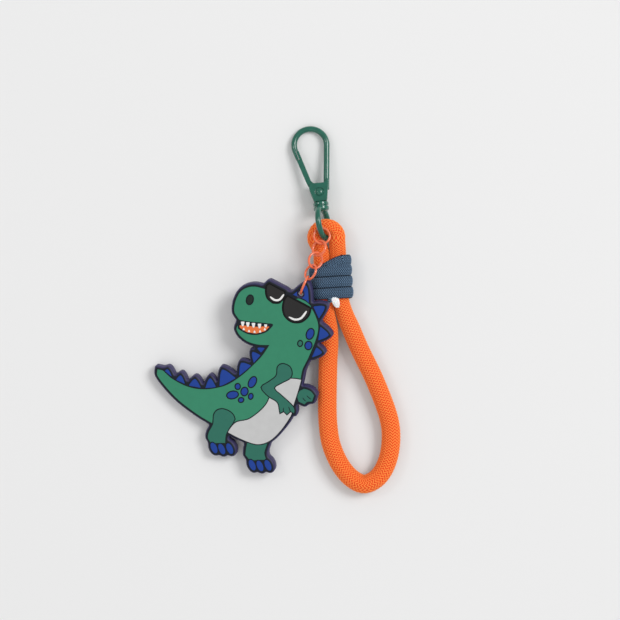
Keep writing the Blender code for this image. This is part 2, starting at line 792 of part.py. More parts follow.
def charm_regions():
    """The charm's colour fields in painting order: name, outline and PVC colour (None shows the base)."""
    regions = []
    for name, corners in SPIKES.items():
        regions.append((name, rounded_triangle(*corners), "blue"))
    regions.append(("far_hand", smooth_outline(FAR_HAND), "limb_green"))
    regions.append(("far_leg", smooth_outline(FAR_LEG), "limb_green"))
    regions.append(("body_fill", smooth_outline(BODY), "green"))
    regions.append(("belly_upper", smooth_outline(BELLY_UPPER), "grey"))
    regions.append(("belly_lower", smooth_outline(BELLY_LOWER), "grey"))
    regions.append(("near_leg", smooth_outline(NEAR_LEG), "limb_green"))
    for name, centre in CLAWS.items():
        regions.append((name, ellipse(centre, CLAW_ACROSS, CLAW_ALONG, CLAW_LEAN), "blue"))
    regions.append(("near_arm", smooth_outline(NEAR_ARM, 1.3), "limb_green"))
    regions.append(("mouth", smooth_outline(MOUTH), None))
    regions.append(("nostril", ellipse((-20.1, -2.4), 1.35, 1.95, 15), "black"))
    for name, spot in SPOTS.items():
        regions.append((name, ellipse(*spot), "limb_green" if name == DARK_SPOT else "blue"))
    regions.append(("hole", circle((0, 0), HOLE_RADIUS + 0.1), None))
    return regions


def overlaps(first, second, margin):
    """Whether the boxes round two outlines come within a margin of each other."""
    a, b = np.array(first), np.array(second)
    return bool(np.all(a.min(0) - margin < b.max(0)) and np.all(b.min(0) - margin < a.max(0)))


def cut_region(outline, covers, shrink, low, high):
    """Prism on an outline shrunk by an amount, less everything painted over it, grown by as much."""
    field = prism(offset_outline(outline, -shrink), low, high)
    tools = []
    for index, cover in enumerate(covers):
        reach = 0.3 + 0.013 * index
        tools.append(prism(offset_outline(cover, shrink), low - reach, high + reach))
    if not tools:
        return field
    return keep_largest_part(cut(field, tools))


def add_fill(name, outline, covers, colour, parent, pockets, low, high):
    """One colour field, and the pocket in the base that holds it."""
    field = cut_region(outline, covers, LINE / 2, low + FIT, high)
    pockets.append(cut_region(outline, covers, LINE / 2 - FIT, low, high + 1.0))
    add_piece(name, field, pvc(colour), parent, 30)


def silhouette():
    """The base plate: every outer outline grown by the rim and united, then levelled to its thickness."""
    plates = []
    shapes = [outline for name, outline, _ in charm_regions() if name not in INNER_FIELDS]
    for index, outline in enumerate(shapes):
        height = CHARM_THICK + 1.0 + 0.017 * index
        plates.append(prism(offset_outline(outline, RIM), -1.0 - 0.017 * index, height))
    for outline in (LENS_LEFT, LENS_RIGHT):
        height = CHARM_THICK + 2.0 + 0.1 * len(outline)
        plates.append(prism(offset_outline(smooth_outline(outline), RIM + 0.3), -height, height))
    base = join(plates[0], plates[1:])
    reach = 80.0
    square = [(-reach, -reach), (reach, -reach), (reach, reach), (-reach, reach)]
    level = prism(square, 0.0, CHARM_THICK)
    levelled = combine(base, [level], "INTERSECT")
    level.free()
    return levelled


def make_charm(parent):
    """Base plate with one pocket for each poured colour field."""
    low, high = CHARM_THICK - POCKET_DEPTH, CHARM_THICK
    pockets = []
    regions = charm_regions()
    glasses = [smooth_outline(LENS_LEFT), smooth_outline(LENS_RIGHT), smooth_outline(BRIDGE)]
    frame_covers = [offset_outline(outline, FRAME_BAR) for outline in glasses]
    for index, (name, outline, colour) in enumerate(regions):
        covers = [other for _, other, _ in regions[index + 1:] if overlaps(outline, other, LINE)]
        covers += [other for other in frame_covers if overlaps(outline, other, LINE)]
        if colour is not None:
            add_fill(name, outline, covers, colour, parent, pockets, low, high)
    make_mouth(parent, pockets, low, high)
    make_glasses(parent, pockets, low, high, glasses)
    base = cut(silhouette(), pockets + [prism(circle((0, 0), HOLE_RADIUS), -5.0, 10.0)])
    base = keep_largest_part(base)
    add_piece("charm_base", base, pvc("navy"), parent, 30)


def make_mouth(parent, pockets, low, high):
    """Teeth under the upper lip, and the gum behind their tips."""
    teeth = teeth_outline()
    gum = smooth_outline(GUM, 1.2)
    add_piece("upper_teeth", prism(teeth, low + FIT, high), pvc("white"), parent, 30)
    pockets.append(prism(offset_outline(teeth, FIT), low, high + 1.0))
    field = cut(prism(gum, low + FIT, high), [prism(offset_outline(teeth, 3 * FIT), low - 1.0, high + 1.0)])
    add_piece("gum", keep_largest_part(field), pvc("gum"), parent, 30)
    pocket = cut(
        prism(offset_outline(gum, FIT), low, high + 1.0),
        [prism(offset_outline(teeth, 2 * FIT), low - 1.0, high + 2.0)],
    )
    pockets.append(keep_largest_part(pocket))


def make_glasses(parent, pockets, low, high, glasses):
    """Frame with two lens openings, the two lenses and the glint on each."""
    outer = [prism(offset_outline(outline, FRAME_BAR + FIT), low, high + 1.0 + 0.1 * index)
             for index, outline in enumerate(glasses)]
    pockets.append(join(outer[0], outer[1:]))
    bars = [prism(offset_outline(outline, FRAME_BAR), low + FIT + 0.011 * index, high - 0.011 * index)
            for index, outline in enumerate(glasses)]
    frame = join(bars[0], bars[1:])
    lens_cuts = [prism(offset_outline(outline, -0.2), low + 0.45, high + 1.0) for outline in glasses[:2]]
    frame = cut(frame, lens_cuts)
    add_piece("glasses_frame", frame, pvc("black"), parent, 30)
    glints = {
        "left": glint_outline([(-11.9, -1.2), (-10.4, -2.3), (-8.3, -1.8), (-6.9, -0.2)], 0.42),
        "right": glint_outline([(-4.4, -9.2), (-1.9, -10.0), (0.9, -9.0), (2.4, -6.9)], 0.45),
    }
    for outline, (side, glint) in zip(glasses, glints.items()):
        lens = prism(offset_outline(outline, -0.2 - FIT), low + 0.45 + FIT, high)
        lens = cut(lens, [prism(offset_outline(glint, FIT), high - 0.3, high + 1.0)])
        add_piece("lens_" + side, lens, pvc("lens"), parent, 30)
        shine = prism(glint, high - 0.3 + FIT, high)
        add_piece("glint_" + side, shine, pvc("white"), parent, 30)


# ---------------------------------------------------------------- rope strap and whipping

def whip_middle(y):
    """Where the whipping's axis lies at a place along it."""
    return WHIP_MIDDLE - WHIP_LEAN * (y - WHIP_FOOT)


def rope_points():
    """Centre line of the strap: up the right leg, over the fold, down the left leg, round the loop."""
    fold = []
    for degrees in range(-10, 191, 20):
        angle = math.radians(degrees)
        fold.append((
            FOLD_CENTRE[0] + FOLD_RADIUS * math.cos(angle),
            FOLD_CENTRE[1] + FOLD_RADIUS * math.sin(angle),
            FOLD_HEIGHT,
        ))
    right_leg = [(whip_middle(y) + LEG_OFFSET, y, WHIP_HEIGHT) for y in (9.9, 14.0, 18.0, 22.7)]
    left_leg = [(whip_middle(y) - LEG_OFFSET, y, WHIP_HEIGHT) for y in (22.7, 18.0, 14.0, 9.0, 4.0)]
    loop = [
        (20.0, -2.0, 5.0), (20.8, -8.0, 4.8), (21.0, -14.0, 4.55), (20.6, -21.0, 4.25), (20.3, -37.0, 3.85),
        (20.6, -46.0, 3.75), (21.9, -54.0, 3.72), (25.2, -61.6, 3.72), (29.8, -67.2, 3.72),
        (35.2, -69.6, 3.72), (40.8, -66.6, 3.72), (44.4, -59.9, 3.72), (45.7, -51.0, 3.72),
        (44.4, -42.0, 3.8), (39.2, -28.3, 4.05), (33.4, -16.3, 4.45), (29.8, -8.0, 4.8),
        (27.3, -2.0, 5.0), (whip_middle(4.0) + LEG_OFFSET, 4.0, 5.1), (whip_middle(9.2) + LEG_OFFSET, 9.2, 5.1),
    ]
    return right_leg + fold + left_leg + loop


def rope_radius(point):
    """The rope is squeezed inside the whipping and at the fold, and full size round the loop."""
    release = min(max((3.0 - point.y) / 12.0, 0.0), 1.0)
    share = release * release * (3 - 2 * release)
    return ROPE_SQUEEZED + (ROPE_RADIUS - ROPE_SQUEEZED) * share


def make_rope(parent, origin):
    path = spline_path(rope_points(), ROPE_STEP)
    outer = [(rope_radius(point),) * 2 for point in path]
    shifted = [point - origin for point in path]
    up = Vector((0, 0, 1))
    sheath = hollow_sweep(shifted, outer, SHEATH_WALL, ROPE_SIDES, up=up)
    add_piece("rope_sheath", sheath, finish("orange_braid", ORANGE, 0.8), parent, 60)
    inner = [(radius - SHEATH_WALL - CORE_FIT,) * 2 for radius, _ in outer]
    core = sweep(shifted, inner, 10, up=up)
    add_piece("rope_core", core, finish("white_core", WHITE, 0.9), parent, 60)


def oval_point(share):
    """Place and outward direction on the oval round both legs, from its right end over the back."""
    ring = ROPE_SQUEEZED + WHIP_FIT + CORD_THICK / 2
    straight = 2 * LEG_OFFSET
    arc = math.pi * ring
    along = (share % 1.0) * 2 * (straight + arc)
    if along < arc / 2:
        centre, angle = LEG_OFFSET, -along / ring
    elif along < arc / 2 + straight:
        return LEG_OFFSET - (along - arc / 2), -ring, Vector((0, 0, -1))
    elif along < 1.5 * arc + straight:
        centre, angle = -LEG_OFFSET, -math.pi / 2 - (along - arc / 2 - straight) / ring
    elif along < 1.5 * arc + 2 * straight:
        return -LEG_OFFSET + along - 1.5 * arc - straight, ring, Vector((0, 0, 1))
    else:
        centre, angle = LEG_OFFSET, math.pi / 2 - (along - 1.5 * arc - 2 * straight) / ring
    push = Vector((math.cos(angle), 0, math.sin(angle)))
    return centre + ring * push.x, ring * push.z, push


def whipping_path():
    """The cord's centre line, outward directions and half widths.

    Its first end lies buried in the groove between the legs, comes out at the top, and the cord then
    goes round both legs three more times, stepping down on the back.
    """
    up = Vector((0, 0, 1))
    path = [Vector(point) for point in (
        (23.1, 2.6, 8.6), (22.8, 3.4, 8.4), (22.45, 4.6, 7.95), (22.25, 6.2, 7.62), (21.9, 12.0, 7.62),
        (21.5, 17.2, 7.62), (21.65, 18.6, 7.9), (22.9, 19.9, 8.75), (24.7, 20.25, 9.27),
    )]
    outward = [up] * len(path)
    size = [(1.2, 0.9), (1.0, 0.8), (0.8, 0.65), (0.72, 0.6), (0.72, 0.6), (0.72, 0.6), (0.85, 0.65), (1.5, 0.75)]
    size.append((CORD_WIDTH / 2, CORD_THICK / 2))
    parts = 22
    first = int(parts * 0.84)
    last = parts + round(parts * (WHIP_TURNS + 0.3))
    for index in range(first + 1, last + 1):
        turns = index / parts - 1.0
        x, z, push = oval_point(turns)
        lap = turns % 1.0
        back = min(lap / 0.5, 1.0)
        drop = WHIP_PITCH * (math.floor(turns) + back * back * (3 - 2 * back)) if turns > 0 else 0.0
        y = WHIP_TOP - drop
        path.append(Vector((whip_middle(y) + x, y, WHIP_HEIGHT + z)))
        outward.append(push)
        size.append((CORD_WIDTH / 2, CORD_THICK / 2))
    return path, outward, size


def make_whipping(parent, origin):
    path, outward, size = whipping_path()
    shifted = [point - origin for point in path]
    sheath = hollow_sweep(shifted, size, CORD_WALL, 8, up=outward)
    add_piece("whipping_sheath", sheath, finish("navy_braid", CORD_NAVY, 0.85), parent, 60)
    tuft = [Vector((24.1, -0.6, 8.55)), Vector((23.85, 0.6, 8.8)), Vector((23.5, 1.8, 8.75))]
    tuft_size = [(0.5, 0.4), (1.15, 0.75), (1.45, 0.9)]
    gap = CORD_WALL + WHIP_CORE_FIT
    inner = tuft_size + [(wide - gap, thick - gap) for wide, thick in size]
    core_path = [point - origin for point in tuft] + shifted
    core = sweep(core_path, inner, 6, up=[outward[0]] * len(tuft) + outward)
    add_piece("whipping_core", core, finish("white_core", WHITE, 0.9), parent, 60)


# ---------------------------------------------------------------- assembly

def hook_matrix():
    turn = Matrix.Rotation(math.radians(HOOK_LEAN), 4, "Z")
    dip = Matrix.Rotation(math.radians(-HOOK_DIP), 4, "X")
    return Matrix.Translation(HOOK_FOOT) @ turn @ dip


def charm_matrix(hole):
    """Flat back of the charm, tilted up to the right, with the hanging hole's middle at a point."""
    heading = math.radians(CHARM_TILT_HEADING)
    axis = Vector((math.sin(heading), -math.cos(heading), 0))
    tilt = Matrix.Rotation(math.radians(CHARM_TILT), 4, axis)
    back = hole - tilt.to_3x3() @ Vector((0, 0, CHARM_THICK / 2))
    return Matrix.Translation(back) @ tilt


def centre_on_origin(root):
    """Move everything so that the object stands on z = 0 with its box centred on the origin."""
    bpy.context.view_layer.update()
    low = np.full(3, np.inf)
    high = np.full(3, -np.inf)
    for item in bpy.data.objects:
        if item.type == "MESH":
            for vertex in item.data.vertices:
                place = np.array(item.matrix_world @ vertex.co)
                low, high = np.minimum(low, place), np.maximum(high, place)
    middle = (low + high) / 2
    root.location = (-middle[0], -middle[1], -low[2])


def build():
    for item in list(bpy.data.objects):
        bpy.data.objects.remove(item)
    root = new_empty("keyring", None, Matrix())

    hook = new_empty("hook_frame", root, hook_matrix())
    gate_pivot = Matrix.Translation((*PIN_CENTRE, 0))
    gate_joint = new_empty("gate_joint", hook, hook_matrix() @ gate_pivot)
    make_hook_body(hook)
    make_gate(gate_joint)
    make_gate_pin(gate_joint)
    make_gate_spring(gate_joint)

    swivel_joint = new_empty("swivel_joint", hook, hook_matrix())
    make_swivel_eye(swivel_joint)

    roll = Matrix.Rotation(math.radians(-EYE_ROLL), 4, "Y")
    strap_place = hook_matrix() @ Matrix.Translation((0, EYE_CENTRE, 0)) @ roll
    strap_joint = new_empty("strap_joint", swivel_joint, Matrix.Translation(strap_place.translation))
    new_empty("strap_axis", strap_joint, strap_place)
    make_rope(strap_joint, strap_place.translation)
    make_whipping(strap_joint, strap_place.translation)

    links, hole = lay_chain()
    parent = swivel_joint
    for number, link in enumerate(links, 1):
        pivot = link[5] if link[5] else Vector(BAR_IN_FIRST_RING)
        joint = new_empty(f"ring_{number}_joint", parent, Matrix.Translation(pivot))
        make_ring(f"ring_{number}", link, joint, pivot)
        parent = joint

    charm_joint = new_empty("charm_joint", parent, charm_matrix(hole))
    make_charm(charm_joint)
    centre_on_origin(root)


build()
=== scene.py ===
"""Looks for the keyring: snap hook, swivel eye, braided strap, cord whipping, ring chain and PVC charm.

Lengths are in millimetres unless a name says otherwise; meshes are scaled to metres when they are added.
Colours are 8-bit sRGB.
"""
import json
import math

import bmesh
import bpy
import numpy as np
from mathutils import Matrix, Vector


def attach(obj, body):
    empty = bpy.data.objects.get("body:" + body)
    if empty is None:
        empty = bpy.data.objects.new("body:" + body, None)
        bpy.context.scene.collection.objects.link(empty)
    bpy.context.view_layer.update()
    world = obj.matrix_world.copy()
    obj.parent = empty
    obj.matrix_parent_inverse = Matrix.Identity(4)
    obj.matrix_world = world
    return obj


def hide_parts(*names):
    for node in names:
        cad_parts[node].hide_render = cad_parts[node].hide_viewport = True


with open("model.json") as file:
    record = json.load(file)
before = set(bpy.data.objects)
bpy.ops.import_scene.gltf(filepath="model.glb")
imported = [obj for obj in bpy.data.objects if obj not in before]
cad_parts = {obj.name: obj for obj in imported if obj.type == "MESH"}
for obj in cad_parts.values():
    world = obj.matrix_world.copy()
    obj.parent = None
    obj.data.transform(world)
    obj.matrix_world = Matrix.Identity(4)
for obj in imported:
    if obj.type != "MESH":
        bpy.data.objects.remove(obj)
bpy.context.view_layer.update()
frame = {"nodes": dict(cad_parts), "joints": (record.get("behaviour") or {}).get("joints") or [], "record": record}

MM = 0.001
JOINTS = {joint["name"]: joint for joint in frame["joints"]}

# snap hook and swivel eye, in the hook's own frame apart from the foot, which places that frame
HOOK_FOOT = (17.6, 42.7, 5.64)
HOOK_LEAN_DEG = 7.1
HOOK_DIP_DEG = 8.6
WIRE = 1.19
BOW_CENTRE = (-1.2, 23.45)
BOW_RADIUS = 6.5
SPINE_FOOT = (2.9, 4.6)
GATE_FOOT = (-3.3, 7.0)
LAP_START = 0.35
LAP_END = 3.7
LAP_GAP = 0.15
BLOCK_HALF = 2.2
SLOT_HALF = 1.0
SLOT_FLOOR = 1.7
PIN_CENTRE = (0.0, 3.7)
PIN_RADIUS = 0.7
PIN_HEAD_RADIUS = 1.5
PIN_HEAD_RISE = 0.5
PIN_SEAT_RADIUS = 1.85
PIN_SEAT_DEPTH = 0.3
GATE_HALF = 0.85
GATE_REACH = 1.0
HUB_RADIUS = 1.9
EYE_WIRE = 1.15
EYE_RADIUS = 6.2
EYE_CENTRE = -8.4
EYE_ROLL_DEG = 18.0

# ring chain
RING_WIRE = 0.46
RING_GAP_DEG = 1.2

# charm
CHARM_TILT_DEG = 8.0
CHARM_TILT_HEADING_DEG = 38.0
CHARM_THICK = 4.0
BASE_TOP = 3.74
OUTLINE_STEP = 0.3
FIELD_FLOOR = BASE_TOP - 0.35
FIELD_GROW = 0.06
FIELD_ROUND = 0.14
SLIVER_ROUND = 0.1
TEETH_FLOOR = BASE_TOP - 0.2
GLINT_HALF = 0.42
FINGER_LINE_HALF = 0.2
PLATE_GROW = 0.22
RIM_ROUND = 1.1
RIM_FOOT_ROUND = 0.35
HOLE_RADIUS = 1.05
BASE_LEAN = (0.35, 0.6)
SHARP_CORNER_DEG = 42.0
SPECK_AREA = 0.15
DRAWN_APART = ("charm_base", "upper_teeth", "gum", "glint_left", "glint_right")

# rope strap and cord whipping
ROPE_RADIUS = 3.66
ROPE_SQUEEZED = 3.2
FOLD_CENTRE = (19.9, 28.35)
FOLD_RADIUS = 4.3
FOLD_HEIGHT = 6.55
LEG_OFFSET = 3.3
WHIP_MIDDLE = 22.2
WHIP_FOOT = 5.9
WHIP_LEAN = 0.064
WHIP_TOP = 20.1
WHIP_PITCH = 4.43
WHIP_HEIGHT = 5.1
WHIP_TURNS = 3
WHIP_START = 0.87
WHIP_OVERRUN = 0.3
WHIP_TILT = 0.065
WHIP_TILT_PIVOT = 7.5
FIRST_TURN_DROP = 0.65
WHIP_FIT = 0.15
CORD_WIDTH = 4.52
CORD_THICK = 1.9
YARN_FLATNESS = 0.7
YARN_DIVE = 0.35
YARN_MIDDLE = 0.7
ROPE_STEP = 0.17
CORD_STEP = 0.13
ROPE_WEAVE = {"sides": 144, "columns": 22, "pitch": 1.15, "depth": 0.42, "slope": 1.0}
CORD_WEAVE = {"sides": 112, "columns": 18, "pitch": 0.72, "depth": 0.24, "slope": 0.9, "crevice_shade": 0.6}
TAIL_WEAVE = {"sides": 60, "columns": 8, "pitch": 0.8, "depth": 0.16, "slope": 1.2}
FIBRE_COUNT = 380
FIBRE_RADIUS = 0.075

# camera and world
VIEW_CENTRE = (13.4, -0.3)
VIEW_WIDTH = 248.0
LENS_LENGTH = 135.0
WORLD_LIGHT = 0.565
WORLD_LIGHT_IN_GLOSS = 0.3

# colours
GREEN_PAINT = (32, 100, 83)
# rim and walls of the navy plate: painted light, paler than the plate's own dark colour
ORANGE_PAINT = (255, 120, 78)
PVC_RIM_PAINTED_LIGHT = (60, 56, 96)
PVC_LINE = (14, 24, 36)
PVC_GREEN = (55, 137, 105)
PVC_LIMB = (47, 113, 96)
PVC_BLUE = (26, 65, 152)
PVC_GREY = (201, 201, 201)
PVC_BLACK = (16, 16, 18)
PVC_LENS = (44, 43, 43)
PVC_NOSTRIL = (30, 46, 40)
PVC_WHITE = (240, 240, 238)
PVC_GUM = (236, 122, 64)
# rope and cord: colours of the lit yarn tops, with the painted shade of the gaps between yarns in ROPE_SHADE and
# CORD_SHADE
ROPE_ORANGE = (255, 156, 74)
ROPE_SHADE = (226, 46, 4)
# painted glow colour of the rope, given off as emission
ROPE_PAINTED_GLOW = (255, 70, 18)
ROPE_BOUNCE = (215, 160, 140)
CORD_NAVY = (110, 142, 174)
CORD_SHADE = (4, 12, 26)
FIBRE_WHITE = (255, 255, 255)
FLOOR_GREY = (238, 238, 238)
STEEL_GREY = (150, 150, 152)

UP = Vector((0, 0, 1))
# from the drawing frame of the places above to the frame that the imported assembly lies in
SHIFT = Vector(JOINTS["swivel"]["pos_m"]) / MM - Vector(HOOK_FOOT)


# ---------------------------------------------------------------- materials

def linear(srgb):
    """Linear RGBA of an 8-bit sRGB colour."""
    shares = [c / 255 for c in srgb]
    return [c / 12.92 if c < 0.04045 else ((c + 0.055) / 1.055) ** 2.4 for c in shares] + [1.0]


class Look:
    """A Principled material with helpers for noise-driven detail at real scale."""

    def __init__(self, name, srgb, roughness, metallic=0.0):
        self.material = bpy.data.materials.new(name)
        self.material.use_nodes = True
        self.tree = self.material.node_tree
        self.shader = self.tree.nodes["Principled BSDF"]
        self.place = self.add("ShaderNodeTexCoord").outputs["Object"]
        self.shader.inputs["Base Color"].default_value = linear(srgb)
        self.shader.inputs["Roughness"].default_value = roughness
        self.shader.inputs["Metallic"].default_value = metallic
        self.bump = None

    def add(self, kind, **settings):
        """New node with its settings."""
        node = self.tree.nodes.new(kind)
        for key, value in settings.items():
            setattr(node, key, value)
        return node

    def link(self, source, target):
        self.tree.links.new(source, target)

    def noise(self, size, detail=3.0):
        """Noise output whose features are about size millimetres across."""
        node = self.add("ShaderNodeTexNoise")
        node.inputs["Scale"].default_value = 1.0 / (size * MM)
        node.inputs["Detail"].default_value = detail
        self.link(self.place, node.inputs["Vector"])
        return node.outputs["Fac"]

    def relief(self, height, depth):
        """Bump of a depth in millimetres, added to any relief already there."""
        node = self.add("ShaderNodeBump")
        node.inputs["Distance"].default_value = depth * MM
        node.inputs["Strength"].default_value = 1.0
        self.link(height, node.inputs["Height"])
        if self.bump:
            self.link(self.bump, node.inputs["Normal"])
        self.bump = node.outputs["Normal"]
        self.link(self.bump, self.shader.inputs["Normal"])

    def spread(self, source, low, high, socket):
        """Drive a number of the shader from a 0 to 1 source."""
        node = self.add("ShaderNodeMapRange")
        node.inputs["To Min"].default_value = low
        node.inputs["To Max"].default_value = high
        self.link(source, node.inputs["Value"])
        self.link(node.outputs["Result"], self.shader.inputs[socket])

    def shade(self, source, dark, light, low=0.0, high=1.0):
        """Base colour running from dark to light as the source goes from low to high."""
        ramp = self.add("ShaderNodeValToRGB")
        ramp.color_ramp.elements[0].position = low
        ramp.color_ramp.elements[1].position = high
        ramp.color_ramp.elements[0].color = linear(dark)
        ramp.color_ramp.elements[1].color = linear(light)
        self.link(source, ramp.inputs["Fac"])
        self.link(ramp.outputs["Color"], self.shader.inputs["Base Color"])

    def attribute(self, name):
        """A number stored on the points of the mesh."""
        return self.add("ShaderNodeAttribute", attribute_name=name).outputs["Fac"]

    def calm_bounce(self, srgb):
        """Use a plainer colour for light bounced on to the surroundings."""
        socket = self.shader.inputs["Base Color"]
        seen = socket.links[0].from_socket
        mix = self.add("ShaderNodeMix", data_type="RGBA")
        mix.inputs["A"].default_value = linear(srgb)
        self.link(self.add("ShaderNodeLightPath").outputs["Is Camera Ray"], mix.inputs["Factor"])
        self.link(seen, mix.inputs["B"])
        self.link(mix.outputs["Result"], socket)


def scaled(srgb, share):
    """A colour made darker or lighter by a share."""
    return tuple(min(255, c * share) for c in srgb)


def enamel(name, srgb):
    """Glossy paint over a die-cast body: slight waviness and a clear top."""
    look = Look(name, srgb, 0.24)
    look.shade(look.noise(2.5), scaled(srgb, 0.94), scaled(srgb, 1.05), 0.3, 0.7)
    look.spread(look.noise(0.6), 0.14, 0.26, "Roughness")
    look.relief(look.noise(1.4, 2.0), 0.03)
    look.relief(look.noise(0.12, 2.0), 0.002)
    look.shader.inputs["Specular IOR Level"].default_value = 0.4
    look.shader.inputs["Coat Weight"].default_value = 0.8
    look.shader.inputs["Coat Roughness"].default_value = 0.12
    return look.material


def soft_pvc(name, srgb):
    """Satin moulded PVC with a faint grain and almost even colour."""
    look = Look(name, srgb, 0.5)
    look.shade(look.noise(2.4), scaled(srgb, 0.985), scaled(srgb, 1.01), 0.3, 0.7)
    look.spread(look.noise(0.35), 0.44, 0.58, "Roughness")
    look.relief(look.noise(3.0, 2.0), 0.015)
    look.relief(look.noise(0.09, 2.0), 0.003)
    look.shader.inputs["Specular IOR Level"].default_value = 0.25
    return look.material


def rimmed_pvc(name, rim, line):
    """The base plate: pale with painted light on its rounded rim and walls, dark on the flat that shows as lines.
    """
    look = Look(name, rim, 0.45)
    # painted light: rim and walls pale as if lit, the flat top dark
    look.shade(look.attribute("flat"), rim, line, 0.0, 1.0)
    look.spread(look.noise(0.35), 0.4, 0.55, "Roughness")
    look.relief(look.noise(0.09, 2.0), 0.003)
    look.shader.inputs["Specular IOR Level"].default_value = 0.35
    return look.material


def braid(name, light, dark, gap):
    """Woven yarn: painted shade in the gaps between yarns and lighter yarn tops, fine filaments and a soft sheen.
    """
    look = Look(name, light, 0.8)
    # painted shade: colour runs from dark in the yarn gaps to light on the yarn tops
    look.shade(look.attribute("braid"), dark, light, gap, 0.92)
    look.relief(look.noise(0.07, 3.0), 0.03)
    look.relief(look.noise(0.5, 2.0), 0.04)
    look.shader.inputs["Sheen Weight"].default_value = 0.15
    look.shader.inputs["Sheen Roughness"].default_value = 0.4
    look.shader.inputs["Specular IOR Level"].default_value = 0.2
    return look


def orange_braid_with_glow():
    """Orange braid with a painted glow: a faint orange emission seen by the camera only, which brightens it."""
    look = braid("orange_braid_look", ROPE_ORANGE, ROPE_SHADE, 0.2)
    look.calm_bounce(ROPE_BOUNCE)
    # painted glow: the rope gives off orange light towards the camera only, though it is no lamp
    look.shader.inputs["Emission Color"].default_value = linear(ROPE_PAINTED_GLOW)
    seen = look.add("ShaderNodeLightPath").outputs["Is Camera Ray"]
    look.spread(seen, 0.0, 0.12, "Emission Strength")
    return look.material


def fibres(name, srgb):
    """White synthetic fibre: matt, slightly see-through, with a painted glow that makes it a little brighter than
    its surroundings.
    """
    look = Look(name, srgb, 0.7)
    look.shade(look.noise(0.2), scaled(srgb, 0.86), srgb, 0.3, 0.7)
    look.relief(look.noise(0.08), 0.02)
    look.shader.inputs["Subsurface Weight"].default_value = 0.2
    look.shader.inputs["Subsurface Scale"].default_value = 0.3 * MM
    # painted glow: white emission, though the fibres are no lamp
    look.shader.inputs["Emission Color"].default_value = linear(srgb)
    look.shader.inputs["Emission Strength"].default_value = 0.15
    return look.material


def bare_steel(name):
    """Drawn spring wire."""
    look = Look(name, STEEL_GREY, 0.3, 1.0)
    look.spread(look.noise(0.15), 0.25, 0.45, "Roughness")
    look.relief(look.noise(0.1), 0.004)
    return look.material


def paper(name, srgb):
    """Plain backdrop under the object."""
    look = Look(name, srgb, 0.9)
    look.relief(look.noise(0.8), 0.01)
    look.shader.inputs["Specular IOR Level"].default_value = 0.1
    return look.material


# ---------------------------------------------------------------- pieces

def add_piece(name, mesh_bm, material, body, stands_for=(), sharp_deg=40, matrix=None):
    """Add a bmesh in millimetres as a piece riding a body and standing for CAD nodes.

    Edges that turn by more than sharp_deg keep a crease.
    """
    if matrix is not None:
        bmesh.ops.transform(mesh_bm, matrix=matrix, verts=mesh_bm.verts)
    bmesh.ops.recalc_face_normals(mesh_bm, faces=mesh_bm.faces)
    bmesh.ops.scale(mesh_bm, vec=(MM, MM, MM), verts=mesh_bm.verts)
    mesh = bpy.data.meshes.new(name)
    mesh_bm.to_mesh(mesh)
    mesh_bm.free()
    mesh.shade_smooth()
    mesh.set_sharp_from_angle(angle=math.radians(sharp_deg))
    return place_mesh(name, mesh, material, body, stands_for)


def place_mesh(name, mesh, material, body, stands_for=()):
    """Add a mesh in metres as a piece riding a body and standing for CAD nodes."""
    item = bpy.data.objects.new(name, mesh)
    bpy.context.scene.collection.objects.link(item)
    mesh.materials.append(material)
    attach(item, body)
    if stands_for:
        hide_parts(*stands_for)
    return item


def repaint(node, material):
    """Give a CAD node that keeps its own shape a material."""
    materials = frame["nodes"][node].data.materials
    materials.clear()
    materials.append(material)


def merged(solids):
    """Several bmeshes as one."""
    whole = bmesh.new()
    for solid in solids:
        part = bpy.data.meshes.new("part")
        solid.to_mesh(part)
        solid.free()
        whole.from_mesh(part)
        bpy.data.meshes.remove(part)
    return whole


def evaluated_copy(mesh_bm, set_up):
    """Run modifiers set up by a function over a bmesh and return the resulting bmesh."""
    holder = bpy.data.objects.new("work", bpy.data.meshes.new("work"))
    mesh_bm.to_mesh(holder.data)
    mesh_bm.free()
    bpy.context.scene.collection.objects.link(holder)
    set_up(holder)
    bpy.context.view_layer.update()
    shape = holder.evaluated_get(bpy.context.evaluated_depsgraph_get())
    result = bmesh.new()
    result.from_mesh(bpy.data.meshes.new_from_object(shape))
    bpy.data.objects.remove(holder)
    return result


def cut(target, tool):
    """Exact difference of two bmeshes."""
    other = bpy.data.objects.new("tool", bpy.data.meshes.new("tool"))
    tool.to_mesh(other.data)
    tool.free()
    bpy.context.scene.collection.objects.link(other)

    def set_up(holder):
        step = holder.modifiers.new("cut", "BOOLEAN")
        step.operation = "DIFFERENCE"
        step.object = other

    result = evaluated_copy(target, set_up)
    bpy.data.objects.remove(other)
    return result


def fuse(parts, voxel, smoothing):
    """Melt overlapping closed parts into one skin with softly rounded joins and edges."""

    def set_up(holder):
        step = holder.modifiers.new("melt", "REMESH")
        step.mode = "VOXEL"
        step.voxel_size = voxel
        soften = holder.modifiers.new("soften", "SMOOTH")
        soften.factor = 0.5
        soften.iterations = smoothing

    return evaluated_copy(merged(parts), set_up)


# ---------------------------------------------------------------- solids

def on_circle(centre, radius, angle):
    """Point at an angle in radians on a circle in the plane."""
    return centre[0] + radius * math.cos(angle), centre[1] + radius * math.sin(angle)


def circle(centre, radius, parts=48):
    """Closed ring of points in the plane."""
    return [on_circle(centre, radius, math.tau * index / parts) for index in range(parts)]


def frames_along(path, up, closed=False):
    """Side and normal vectors along a path, held to an up direction or to one per point."""
    count = len(path)
    frames = []
    for index in range(count):
        before = path[index - 1] if closed or index else path[0]
        after = path[(index + 1) % count] if closed or index < count - 1 else path[-1]
        ahead = (after - before).normalized()
        hint = up[index] if isinstance(up, list) else up
        side = ahead.cross(hint).normalized()
        frames.append((side, side.cross(ahead).normalized()))
    return frames


def bridge(solid, first, second):
    """Quads between two rings with the same number of vertices."""
    for index in range(len(first)):
        after = (index + 1) % len(first)
        solid.faces.new((first[index], first[after], second[after], second[index]))


